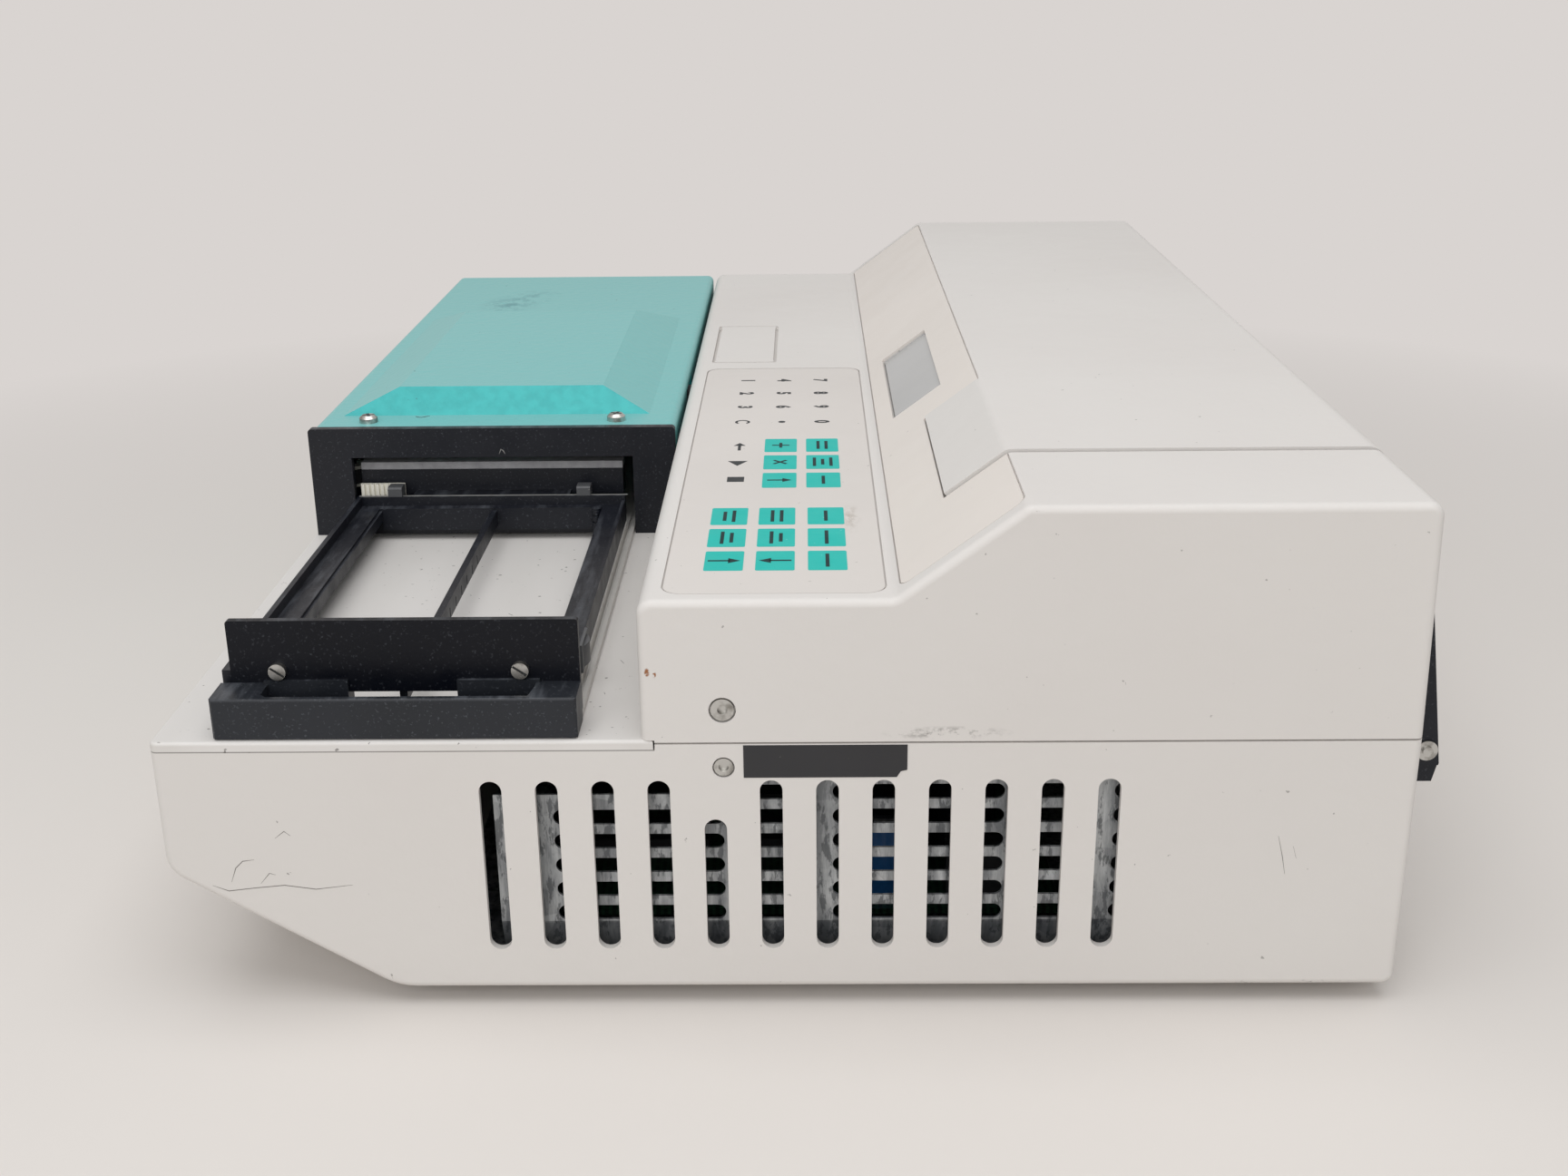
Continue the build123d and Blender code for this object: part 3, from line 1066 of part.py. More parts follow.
def guide_shoe():
    """Glide shoe at the tray's right front corner: a bowed leaf on a small block."""
    x, y, z = -38.0, POCKET_Y[1] + 1.1, (CARRIER_Z0 + 3.8, LEDGE_Z + 2)
    block = box((x - 6.5, x + 6.5), (y, y + 0.8), z)
    bow = Pos(x, y - 7.0) * Circle(9.0) & Pos(x, y + 1.0) * Rectangle(11, 2)
    return block + upright(bow, (z[0] + 1, z[1] - 1))


def locating_pin():
    """Grooved pin that locates the plate's corner."""
    x, y = CARRIER_X[0] + 6.9, POCKET_Y[1] - LEDGE_R - 1.7
    pin = bar((x, y, CARRIER_Z0 + 1), (0, 0, 1), LEDGE_Z - CARRIER_Z0 - 0.6, 1.6)
    for level in (LEDGE_Z - 2.2, LEDGE_Z - 4.4):
        pin -= tube((x, y, level), (0, 0, 1), 0.7, 2.2, 1.2)
    return pin


# ================================================================== printer
def printer_bay():
    """Tub under the lid; its walls carry the lid's pins, the platen and the roll."""
    x = (LID_X[0] - 1.5, LID_X[1] + 1.5)
    y = (LID_Y0 + 1.0, REAR_Y - WALL - 1.2)
    tub = box(grow(x, BAY_T), y, (BAY_Z, TOP_Z))
    tub &= top_cavity(WALL + 0.15)
    tub -= box(x, grow(y, -BAY_T), (BAY_Z + BAY_T, TOP_Z + 5))
    ya, za = lid_axis()
    tub -= bar((x[0] - 5, ya, za), (1, 0, 0), x[1] - x[0] + 10, LID_PIN_R + 0.02)
    tub -= box(grow(x, 5), (ya - LID_PIN_R, ya + LID_PIN_R), (za, TOP_Z))
    tub -= bar((x[0], ya, za), (1, 0, 0), x[1] - x[0], LID_AXIS_IN + LID_RISE + GAP)
    for side in x:
        inward = 1 if side < sum(x) / 2 else -1
        tub += bar((side, PLATEN_Y, PLATEN_Z), (inward, 0, 0), 4, 1.6)
        tub += bar((side, ROLL_Y, ROLL_Z), (inward, 0, 0), 12, 4.5)
    return tub


def lid_pins():
    """Hinge pins of the printer lid."""
    y, z = lid_axis()
    start = LID_X[1] + 1.5 + BAY_T
    far = LID_X[0] - 1.5 - BAY_T
    return group(bar((start, y, z), (-1, 0, 0), 12, LID_PIN_R), bar((far, y, z), (1, 0, 0), 12, LID_PIN_R))


def printer_mechanism():
    """Print head and paper guide in front of the roll."""
    x = grow(LID_X, 0.5)
    floor = BAY_Z + BAY_T
    block = box(x, (PLATEN_Y - 6, PLATEN_Y + 14), (floor, PLATEN_Z - PLATEN_R - 0.6))
    block += box(grow(x, -6), (PLATEN_Y + PLATEN_R + 1.0, PLATEN_Y + 14), (floor, PLATEN_Z + 3))
    return block


def platen_roller():
    """Rubber roller that feeds the paper."""
    x = grow(LID_X, 0.8)
    return tube((x[0], PLATEN_Y, PLATEN_Z), (1, 0, 0), x[1] - x[0], PLATEN_R, 1.6 + SEAT)


def paper_roll():
    """Roll of printer paper on its core."""
    x = grow(LID_X, -8)
    return tube((x[0], ROLL_Y, ROLL_Z), (1, 0, 0), x[1] - x[0], ROLL_R, 4.5 + SEAT)


def printer_lid():
    """Lid over the printer: flat top, a flap down the slope, knuckles at the rear."""
    lid = along_x(lid_band(LID_T, 0.0), LID_X)
    y, z = lid_axis()
    for x in ((LID_X[0], LID_X[0] + 13), (LID_X[1] - 13, LID_X[1])):
        ring = bar((x[0], y, z), (1, 0, 0), 13, LID_AXIS_IN)
        lid += ring
    rib_z = (TOP_Z - LID_T - 2.4, TOP_Z - LID_T + 0.1)
    for x in (LID_X[0] + 6, LID_X[1] - 7.2):
        lid += box((x, x + 1.2), (INC_Y1 + 6, REAR_Y - 2 * LID_AXIS_IN - 1), rib_z)
    return lid - bar((LID_X[0] - 1, y, z), (1, 0, 0), LID_X[1] - LID_X[0] + 2, LID_PIN_R + SEAT)


# ================================================================== rear flap
def flap_outline(skin):
    """Wedge: thin at the top, thick at the hinge, stepping in below it."""
    wall_top = REAR_Y + REAR_DRAFT * (TOP_Z - FLAP_TOP_Z) / (TOP_Z - SEAM_Z) + 0.7
    out = DEPTH + FLAP_OUT
    return Polygon((DEPTH + 0.7 + skin, SEAM_Z), (wall_top + skin, FLAP_TOP_Z - skin), (DEPTH + 2.7 - skin, FLAP_TOP_Z - skin),
                   (out - skin, 58.2), (DEPTH + 7.8 - skin, FLAP_FOOT_Z + skin), (DEPTH + 2.6 + skin, FLAP_FOOT_Z + skin),
                   (DEPTH + 0.7 + skin, 57.0), align=None)


def rear_flap():
    """Hinged wedge-shaped cover over the lamp door, hollow behind, with notches for the lugs."""
    flap = along_x(flap_outline(0), FLAP_X)
    core = Polygon((DEPTH - 5, FLAP_FOOT_Z - 5), (DEPTH - 5, 98), (DEPTH - 1.1, 98), (DEPTH + FLAP_OUT - FLAP_SKIN, 58.2),
                   (DEPTH + 7.8 - FLAP_SKIN, FLAP_FOOT_Z + 1.5), (DEPTH + 5.4, FLAP_FOOT_Z - 5), align=None)
    flap -= along_x(core, grow(FLAP_X, -FLAP_CHEEK))
    y, z = FLAP_PIVOT
    for x in ((FLAP_X[0] - 1, FLAP_X[0] + 0.6), (FLAP_X[1] - 0.6, FLAP_X[1] + 1)):
        flap -= box(x, (DEPTH - 5, DEPTH + 15), (FLAP_FOOT_Z - 1, z - 4.4))
    for x in flap_lug_places():
        flap -= box(grow(x, GAP), (DEPTH - 5, DEPTH + 15), (FLAP_FOOT_Z - 5, z + LUG_R + 3))
    return flap - bar((FLAP_X[0] - 1, y, z), (1, 0, 0), FLAP_X[1] - FLAP_X[0] + 2, FLAP_PIN_R + SEAT)


def flap_pins():
    """Shoulder pins that hold the flap to the lugs, with washers outside."""
    y, z = FLAP_PIVOT
    pins = []
    for x, inward in ((FLAP_X[1], -1), (FLAP_X[0], 1)):
        pin = bar((x - inward * 1.6, y, z), (inward, 0, 0), 1.3 + FLAP_CHEEK + GAP + LUG_T, FLAP_PIN_R)
        pins.append(pin + bar((x - inward * 0.2, y, z), (-inward, 0, 0), 0.6, 2.7))
    return group(*pins)


# ================================================================== build
PARTS = [
    lower_housing, rubber_feet, deck_plate, upper_housing, housing_screws, keypad_overlay, display_fascia,
    lcd_module, hood_cover, hood_bezel, hood_screws, vent_screen, chassis_plate, main_board, board_chips,
    filter_capacitors, transformer, rear_panel, mains_inlet, switch_frame, power_rocker, serial_port,
    fan_frame, fan_rotor, optics_bench, lamp_house, halogen_lamp, condenser_lens, filter_wheel,
    wheel_filters, wheel_motor, fibre_bundle, measuring_head, detector_board, drive_motor, drive_pulley,
    idler_pulley, drive_belt, guide_rod, deck_pillars, plate_carrier, carrier_front_plate,
    front_plate_screws, handle_bar, light_shield, shield_foam, belt_clips, belt_end,
    slide_bushes, slide_rail, guide_shoe, locating_pin, printer_bay, lid_pins, printer_mechanism, platen_roller,
    paper_roll, printer_lid, rear_flap, flap_pins,
]

# the origin is the middle of the whole instrument's footprint, on the bench
TO_ORIGIN = Pos(WIDTH / 2, -(DEPTH + FLAP_OUT) / 2, FOOT_H)

os.makedirs("parts", exist_ok=True)
for make in PARTS:
    shape = TO_ORIGIN * make()
    export_step(shape, f"parts/{make.__name__}.step")
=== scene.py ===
"""Looks of a bench microplate reader: materials, key legends, wear, light and camera.

Sizes are in mm from the instrument's own corner: x from the right side (leftwards negative),
y from the front face (rearwards) and z from the bottom edge of the lower housing (up)."""

import json
from math import cos, hypot, pi, radians, sin

import bmesh
import bpy
from mathutils import Matrix, Vector


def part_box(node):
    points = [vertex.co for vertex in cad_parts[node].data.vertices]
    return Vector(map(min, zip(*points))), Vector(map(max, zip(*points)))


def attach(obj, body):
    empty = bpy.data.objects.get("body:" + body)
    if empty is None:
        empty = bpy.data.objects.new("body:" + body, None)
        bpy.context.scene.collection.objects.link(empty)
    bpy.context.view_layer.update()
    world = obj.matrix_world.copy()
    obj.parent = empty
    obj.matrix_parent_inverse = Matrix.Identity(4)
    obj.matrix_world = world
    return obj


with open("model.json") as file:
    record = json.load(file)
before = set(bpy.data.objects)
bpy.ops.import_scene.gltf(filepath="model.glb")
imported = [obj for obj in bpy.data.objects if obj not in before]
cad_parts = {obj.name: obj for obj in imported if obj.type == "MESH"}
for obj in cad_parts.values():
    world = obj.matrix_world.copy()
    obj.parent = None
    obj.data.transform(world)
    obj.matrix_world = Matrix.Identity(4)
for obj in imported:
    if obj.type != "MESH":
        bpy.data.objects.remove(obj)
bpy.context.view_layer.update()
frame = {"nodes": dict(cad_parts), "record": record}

MM = 0.001
BODY_LOW, BODY_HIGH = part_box("lower_housing")
CORNER = Vector((BODY_HIGH[0], BODY_LOW[1], BODY_LOW[2]))   # where x, y and z are 0

# faces that the flat pieces lie on
KEY_FILM_Z = 108.1        # top of the keypad film
HOOD_TOP_Z = 107.8
PAN_HEAD = 2.4            # height of a hood screw's head
HOOD_SCREWS = ((-171.0, 19.4, 20), (-171.0, 101.7, 65))   # x, y and turn of the cross
DECK_Z = 71.3
TRAY_TOP_Z = 85.0
FRAME_FRONT_X = -162.0    # front face of the doorway frame
FACE_SCREWS = ((31.1, 85.8), (92.3, 85.8))                # y and z
SLOT_BOTTOM_X = -11.1     # bottom of the slots in those screws

# thin layers
PRINT = 0.03              # printed ink
KEY_H = 0.08              # a printed key field
MARK = 0.02               # a scratch
HAIR = 0.05               # a hair or crumb
EDGE = 0.03               # wear on an edge
STRIP_T = 0.12            # the self-adhesive strip

# marks in the finishes: middle and reach along x, y and z
SEAM_SMUDGE = ((0, 199, 73.0), (6, 17, 2.0))
REAR_FLECKS = ((0, 290, 0.4), (6, 26, 1.6))
RUST_CHIPS = (((0, 125.2, 89.6), (1.2, 0.75, 1.3)), ((0, 127.0, 89.0), (1.2, 0.55, 0.9)))
HOOD_STAIN = ((-366, 36, 108), (26, 14, 12))
HOOD_RUB = ((-384, 45, 108), (18, 12, 12))
FILM_SMEAR = ((-64, 176.5, 108), (14, 3.5, 4))


def at(x, y, z):
    """Point of the row frame, in metres, from the instrument's own mm."""
    return CORNER + Vector((x, y, z)) * MM


# ------------------------------------------------------------------ node helpers
def linear(hex_colour):
    """sRGB hex to linear RGBA."""
    parts = [int(hex_colour[i:i + 2], 16) / 255 for i in (1, 3, 5)]
    return tuple(c / 12.92 if c <= 0.04045 else ((c + 0.055) / 1.055) ** 2.4 for c in parts) + (1.0,)


def add(nodes, kind, sockets=None, **settings):
    """New shader node; a socket's value may be another node's output."""
    node = nodes.new("ShaderNode" + kind)
    for name, value in settings.items():
        setattr(node, name, value)
    for key, value in (sockets or {}).items():
        if isinstance(value, bpy.types.NodeSocket):
            nodes.id_data.links.new(value, node.inputs[key])
        else:
            node.inputs[key].default_value = value
    return node


def noise(nodes, coords, size, detail=2.0, roughness=0.5, seed=0.0):
    """Noise whose blobs are about a given size in mm."""
    sockets = {"Vector": coords, "W": seed, "Scale": 0.5 / (size * MM), "Detail": detail,
               "Roughness": roughness}
    return add(nodes, "TexNoise", sockets, noise_dimensions="4D").outputs["Fac"]


def stretch(nodes, coords, factors):
    """Coordinates multiplied per axis: below 1 draws a pattern out along that axis."""
    return add(nodes, "Mapping", {"Vector": coords, "Scale": factors}).outputs["Vector"]


def remap(nodes, value, low, high, to_low=0.0, to_high=1.0):
    made = add(nodes, "MapRange", {"Value": value, "From Min": low, "From Max": high,
                                   "To Min": to_low, "To Max": to_high})
    return made.outputs["Result"]


def cloudy(nodes, coords, size, detail=4.0, to_low=0.0, to_high=1.0, seed=0.0):
    """Soft clouds of about a given size in mm, between two values."""
    return remap(nodes, noise(nodes, coords, size, detail=detail, seed=seed), 0.3, 0.7, to_low, to_high)


def along(nodes, vector, axis):
    """One of the three parts of a vector."""
    return add(nodes, "SeparateXYZ", {0: vector}).outputs[axis]


def times(nodes, a, b):
    return add(nodes, "Math", {0: a, 1: b}, operation="MULTIPLY").outputs[0]


def plus(nodes, a, b):
    return add(nodes, "Math", {0: a, 1: b}, operation="ADD", use_clamp=True).outputs[0]


def mixed(nodes, factor, a, b):
    """Colour a where the factor is 0, b where it is 1."""
    made = add(nodes, "Mix", {0: factor, 6: a, 7: b}, data_type="RGBA")
    return made.outputs[2]


def spot(nodes, coords, centre, reach, soft=0.6):
    """1 inside an ellipsoid round a place on the instrument, falling to 0 at its edge."""
    middle = at(*centre)
    radii = tuple(r * MM for r in reach)
    away = add(nodes, "VectorMath", {0: coords, 1: tuple(middle)}, operation="SUBTRACT").outputs[0]
    scaled = add(nodes, "VectorMath", {0: away, 1: radii}, operation="DIVIDE").outputs[0]
    length = add(nodes, "VectorMath", {0: scaled}, operation="LENGTH").outputs["Value"]
    return remap(nodes, length, 1.0, soft)


def patchy(nodes, coords, place, pattern, low, high, soft):
    """A place worn through in a pattern: 0 below a low value of the pattern, 1 above a high one."""
    return times(nodes, spot(nodes, coords, *place, soft), remap(nodes, pattern, low, high))


def start(name):
    """Material with a Principled shader; returns it with its nodes, shader and coordinates."""
    made = bpy.data.materials.new(name)
    made.use_nodes = True
    nodes = made.node_tree.nodes
    nodes.clear()
    shader = add(nodes, "BsdfPrincipled")
    add(nodes, "OutputMaterial", {"Surface": shader.outputs["BSDF"]})
    return made, nodes, shader, add(nodes, "TexCoord").outputs["Object"]


def give(nodes, shader, name, value):
    if isinstance(value, bpy.types.NodeSocket):
        nodes.id_data.links.new(value, shader.inputs[name])
    else:
        shader.inputs[name].default_value = value


def bumped(nodes, shader, height, depth, strength=1.0):
    """Relief from a height of 0 to 1 that is a given depth in mm."""
    relief = add(nodes, "Bump", {"Height": height, "Distance": depth * MM, "Strength": strength})
    give(nodes, shader, "Normal", relief.outputs["Normal"])


def surface(name, colour, rough, metal=0.0, vary=0.05, vary_size=30.0, grain=0.0, grain_size=1.0,
            dust=0.0, dust_colour="#B9B5AF", dust_size=1.2, shine=0.5):
    """Plain finish with a faint cloudiness, a relief grain and settled specks, sizes in mm."""
    made, nodes, shader, coords = start(name)
    base = linear(colour)
    dark = tuple(c * (1 - vary) for c in base[:3]) + (1.0,)
    tint = mixed(nodes, cloudy(nodes, coords, vary_size), dark, base)
    if dust:
        specks = remap(nodes, noise(nodes, coords, dust_size, detail=3, seed=3.0), 0.70, 0.74, 0.0, dust)
        tint = mixed(nodes, specks, tint, linear(dust_colour))
    give(nodes, shader, "Base Color", tint)
    give(nodes, shader, "Roughness", cloudy(nodes, coords, 4.0, 2.0, rough - 0.05, rough + 0.05, seed=5.0))
    shader.inputs["Metallic"].default_value = metal
    shader.inputs["Specular IOR Level"].default_value = shine
    if grain:
        bumped(nodes, shader, noise(nodes, coords, grain_size, detail=3, seed=1.0), grain)
    return made


# ------------------------------------------------------------------ materials
def housing_paint():
    """Warm grey paint on structural foam: pebbled grain 1.6 mm across, scuffs and flecks."""
    made, nodes, shader, coords = start("housing_paint")
    tint = mixed(nodes, cloudy(nodes, coords, 60), linear("#CFCAC5"), linear("#D3CFCA"))
    # smudge along the seam, flecks along the rear bottom edge, specks all over
    fine = noise(nodes, stretch(nodes, coords, (1.0, 0.6, 1.0)), 1.3, detail=5, roughness=0.7)
    smudge = patchy(nodes, coords, SEAM_SMUDGE, fine, 0.50, 0.60, 0.2)
    flecks = patchy(nodes, coords, REAR_FLECKS, fine, 0.56, 0.62, 0.2)
    specks = remap(nodes, noise(nodes, coords, 1.0, detail=2, seed=7.0), 0.745, 0.765, 0.0, 0.55)
    marks = plus(nodes, plus(nodes, times(nodes, smudge, 0.75), flecks), specks)
    tint = mixed(nodes, marks, tint, linear("#5C5853"))
    # two chips with rust near the front corner
    crumbs = remap(nodes, noise(nodes, coords, 0.7, detail=3, seed=2.0), 0.42, 0.50)
    chips = plus(nodes, *(spot(nodes, coords, *place) for place in RUST_CHIPS))
    tint = mixed(nodes, times(nodes, chips, crumbs), tint, linear("#8E5A32"))
    give(nodes, shader, "Base Color", tint)
    give(nodes, shader, "Roughness", cloudy(nodes, coords, 5.0, 2.0, 0.50, 0.62))
    pebbles = noise(nodes, coords, 1.6, detail=2, roughness=0.4, seed=1.0)
    bumped(nodes, shader, pebbles, 0.10)
    return made


def deck_paint():
    """Smoother grey moulding with rub marks along the tray's path and a painted shadow line under its lip.
    """
    made, nodes, shader, coords = start("deck_paint")
    cloud = cloudy(nodes, stretch(nodes, coords, (0.25, 1.0, 1.0)), 14)
    tint = mixed(nodes, cloud, linear("#CDC9C4"), linear("#D6D2CE"))
    specks = remap(nodes, noise(nodes, coords, 0.9, detail=2, seed=4.0), 0.70, 0.73, 0.0, 0.7)
    # painted shadow: darker below z 68.9 mm, standing in for the shade in the gap under the deck's lip
    edge = remap(nodes, along(nodes, coords, "Z"), at(0, 0, 68.72).z, at(0, 0, 68.9).z, 0.75, 0.0)
    tint = mixed(nodes, plus(nodes, specks, edge), tint, linear("#5E5A55"))
    give(nodes, shader, "Base Color", tint)
    give(nodes, shader, "Roughness", remap(nodes, cloud, 0, 1, 0.42, 0.52))
    bumped(nodes, shader, noise(nodes, coords, 0.9, detail=2, seed=1.0), 0.03)
    return made


def teal_paint():
    """Teal texture paint: lumps 1.8 mm across with painted shade between them, a rubbed dark stain near the
    back, and a painted sheen where the surface is seen at a grazing angle.
    """
    made, nodes, shader, coords = start("teal_paint")
    tint = mixed(nodes, cloudy(nodes, coords, 50), linear("#2AA9A7"), linear("#35B2B0"))
    lumps = noise(nodes, coords, 1.8, detail=2, roughness=0.45, seed=1.0)
    # painted shade: darker teal where the lumps are low
    tint = mixed(nodes, remap(nodes, lumps, 0.38, 0.62, 0.35, 0.0), tint, linear("#178F90"))
    # painted sheen: paler teal where the surface is seen at a grazing angle
    facing = add(nodes, "LayerWeight", {"Blend": 0.5}).outputs["Facing"]
    tint = mixed(nodes, remap(nodes, facing, 0.35, 0.80), tint, linear("#74B4B2"))
    fine = noise(nodes, stretch(nodes, coords, (0.8, 1.0, 1.0)), 2.4, detail=5, roughness=0.7, seed=2.0)
    stain = patchy(nodes, coords, HOOD_STAIN, fine, 0.44, 0.58, 0.1)
    rub = patchy(nodes, coords, HOOD_RUB, fine, 0.46, 0.62, 0.1)
    tint = mixed(nodes, times(nodes, plus(nodes, stain, rub), 0.70), tint, linear("#3A7F86"))
    specks = remap(nodes, noise(nodes, coords, 1.0, detail=2, seed=9.0), 0.74, 0.76, 0.0, 0.6)
    tint = mixed(nodes, specks, tint, linear("#24494A"))
    give(nodes, shader, "Base Color", tint)
    shader.inputs["Roughness"].default_value = 0.40
    shader.inputs["Specular IOR Level"].default_value = 0.4
    bumped(nodes, shader, lumps, 0.30)
    return made


def black_moulding(name="black_moulding", dust=0.20, rough=0.42, smear=0.30,
                   tones=("#080B14", "#0D111A"), shine=0.35):
    """Black moulding or sheet: fine texture, pale specks, and dust smeared along what faces up."""
    made, nodes, shader, coords = start(name)
    tint = mixed(nodes, cloudy(nodes, coords, 18), linear(tones[0]), linear(tones[1]))
    upward = along(nodes, add(nodes, "NewGeometry").outputs["Normal"], "Z")
    streaks = noise(nodes, stretch(nodes, coords, (0.14, 1.0, 1.0)), 2.5, detail=5, roughness=0.65, seed=2.0)
    settled = times(nodes, remap(nodes, upward, 0.6, 0.9), remap(nodes, streaks, 0.48, 0.72, 0.0, smear))
    specks = remap(nodes, noise(nodes, coords, 0.34, detail=2, seed=3.0), 0.60, 0.78, 0.0, dust)
    tint = mixed(nodes, plus(nodes, settled, specks), tint, linear("#7F838A"))
    give(nodes, shader, "Base Color", tint)
    give(nodes, shader, "Roughness", cloudy(nodes, coords, 4.0, 2.0, rough - 0.05, rough + 0.08, seed=5.0))
    shader.inputs["Specular IOR Level"].default_value = shine
    bumped(nodes, shader, noise(nodes, coords, 0.7, detail=2, seed=1.0), 0.05)
    return made


def galvanised():
    """Zinc spangle about 9 mm across with dull streaks and dark flecks, and painted shade below the slots.
    """
    made, nodes, shader, coords = start("galvanised_steel")
    cells = add(nodes, "TexVoronoi", {"Vector": coords, "Scale": 1 / (9 * MM), "Randomness": 1.0},
                feature="F1")
    tone = add(nodes, "SeparateColor", {"Color": cells.outputs["Color"]}).outputs[0]
    streak = noise(nodes, stretch(nodes, coords, (1.0, 2.4, 0.35)), 4.0, detail=5, roughness=0.65, seed=2.0)
    both = plus(nodes, times(nodes, tone, 0.35), times(nodes, remap(nodes, streak, 0.40, 0.62), 0.65))
    tint = mixed(nodes, both, linear("#6E7174"), linear("#CFD1D1"))
    flecks = noise(nodes, stretch(nodes, coords, (1.0, 1.0, 0.3)), 0.9, detail=4, roughness=0.65, seed=4.0)
    tint = mixed(nodes, remap(nodes, flecks, 0.52, 0.58, 0.0, 0.70), tint, linear("#4A4D50"))
    # painted shade: darker bluish grey on the screen below z 16.8 mm, under the slots
    low = remap(nodes, along(nodes, coords, "Z"), at(0, 0, 15.8).z, at(0, 0, 16.8).z, 0.45, 0.0)
    tint = mixed(nodes, low, tint, linear("#4B5058"))
    give(nodes, shader, "Base Color", tint)
    give(nodes, shader, "Roughness", remap(nodes, tone, 0, 1, 0.38, 0.6))
    shader.inputs["Metallic"].default_value = 0.55
    return made


def circuit_board():
    """Green solder mask with fine tracks."""
    made, nodes, shader, coords = start("circuit_board")
    grid = add(nodes, "TexBrick", {"Vector": coords, "Scale": 1 / (8 * MM), "Mortar Size": 0.06,
                                   "Color1": linear("#14291D"), "Color2": linear("#102318"),
                                   "Mortar": linear("#22402E")})
    give(nodes, shader, "Base Color", grid.outputs["Color"])
    shader.inputs["Roughness"].default_value = 0.35
    return made


def plated_steel(name, colour="#C3C2BE", rough=0.28):
    """Plated steel with a little tarnish."""
    made, nodes, shader, coords = start(name)
    tarnish = remap(nodes, noise(nodes, coords, 1.5, detail=5), 0.45, 0.65)
    give(nodes, shader, "Base Color", mixed(nodes, tarnish, linear(colour), linear("#8D8A84")))
    give(nodes, shader, "Roughness", remap(nodes, tarnish, 0, 1, rough, rough + 0.2))
    shader.inputs["Metallic"].default_value = 1.0
    return made


def capacitor_sleeve():
    """Blue sleeve with a dark upper end; the ones further in are black."""
    made, nodes, shader, coords = start("blue_sleeve")
    tint = mixed(nodes, cloudy(nodes, coords, 12), linear("#1F5489"), linear("#2A659F"))
    top = remap(nodes, along(nodes, coords, "Z"), at(0, 0, 32.5).z, at(0, 0, 34.0).z)
    inner = remap(nodes, along(nodes, coords, "X"), at(-46, 0, 0).x, at(-44, 0, 0).x, 1.0, 0.0)
    give(nodes, shader, "Base Color", mixed(nodes, plus(nodes, top, inner), tint, linear("#101418")))
    shader.inputs["Roughness"].default_value = 0.28
    return made


def see_through(name, colour, rough=0.02, tint=0.9):
    """Clear or coloured glass."""
    made, nodes, shader, coords = start(name)
    base = linear(colour)
    dim = tuple(c * 0.97 for c in base[:3]) + (1.0,)
    give(nodes, shader, "Base Color", mixed(nodes, cloudy(nodes, coords, 20, 2.0), dim, base))
    shader.inputs["Roughness"].default_value = rough
    shader.inputs["Transmission Weight"].default_value = tint
    return made


def display_glass():
    """Grey reflective liquid crystal: a fine raster of cells under the glass."""
    made, nodes, shader, coords = start("display_glass")
    raster = add(nodes, "TexWave", {"Vector": coords, "Scale": 1 / (7.5 * MM), "Distortion": 0.0},
                 wave_type="BANDS", bands_direction="X")
    tint = mixed(nodes, cloudy(nodes, coords, 25, 3.0), linear("#9FA09F"), linear("#ABABAA"))
    tint = mixed(nodes, times(nodes, raster.outputs["Fac"], 0.06), tint, linear("#8D908F"))
    give(nodes, shader, "Base Color", tint)
    shader.inputs["Roughness"].default_value = 0.12
    shader.inputs["Coat Weight"].default_value = 0.25
    return made


def film(name, colour):
    """Printed polyester film: satin, faint fingermarks, grubby specks and a smear beside the keys."""
    made, nodes, shader, coords = start(name)
    base = linear(colour)
    dim = tuple(c * 0.95 for c in base[:3]) + (1.0,)
    tint = mixed(nodes, cloudy(nodes, coords, 35, 5.0), dim, base)
    specks = remap(nodes, noise(nodes, coords, 1.0, detail=2, seed=6.0), 0.74, 0.76, 0.0, 0.5)
    tint = mixed(nodes, specks, tint, linear("#77716A"))
    fine = noise(nodes, stretch(nodes, coords, (0.4, 1.0, 1.0)), 1.2, detail=5, roughness=0.7, seed=8.0)
    smear = patchy(nodes, coords, FILM_SMEAR, fine, 0.44, 0.62, 0.1)
    tint = mixed(nodes, times(nodes, smear, 0.6), tint, linear("#8A7D6C"))
    give(nodes, shader, "Base Color", tint)
    marks = noise(nodes, coords, 12, detail=4, seed=3.0)
    give(nodes, shader, "Roughness", remap(nodes, marks, 0.35, 0.65, 0.32, 0.5))
    bumped(nodes, shader, noise(nodes, coords, 0.35, seed=1.0), 0.008)
    return made


paint = housing_paint()
black = black_moulding()
plated = plated_steel("plated_steel")
green = circuit_board()
galvanised_steel = galvanised()
aluminium = surface("bare_aluminium", "#B9BABC", 0.35, metal=1.0, vary=0.08, vary_size=9)
anodised = black_moulding("black_anodised", dust=0.16, rough=0.38, smear=0.22, tones=("#03050D", "#070A13"),
                          shine=0.22)
nylon = surface("off_white_nylon", "#EAE6D8", 0.45, vary=0.06, vary_size=3, grain=0.02, grain_size=0.6)
rubber = surface("matt_rubber", "#232427", 0.75, vary=0.15, vary_size=6, grain=0.03, grain_size=0.5,
                 dust=0.3)
motor_can = surface("drawn_steel_can", "#8B8C8E", 0.35, metal=1.0, vary=0.1, vary_size=8)

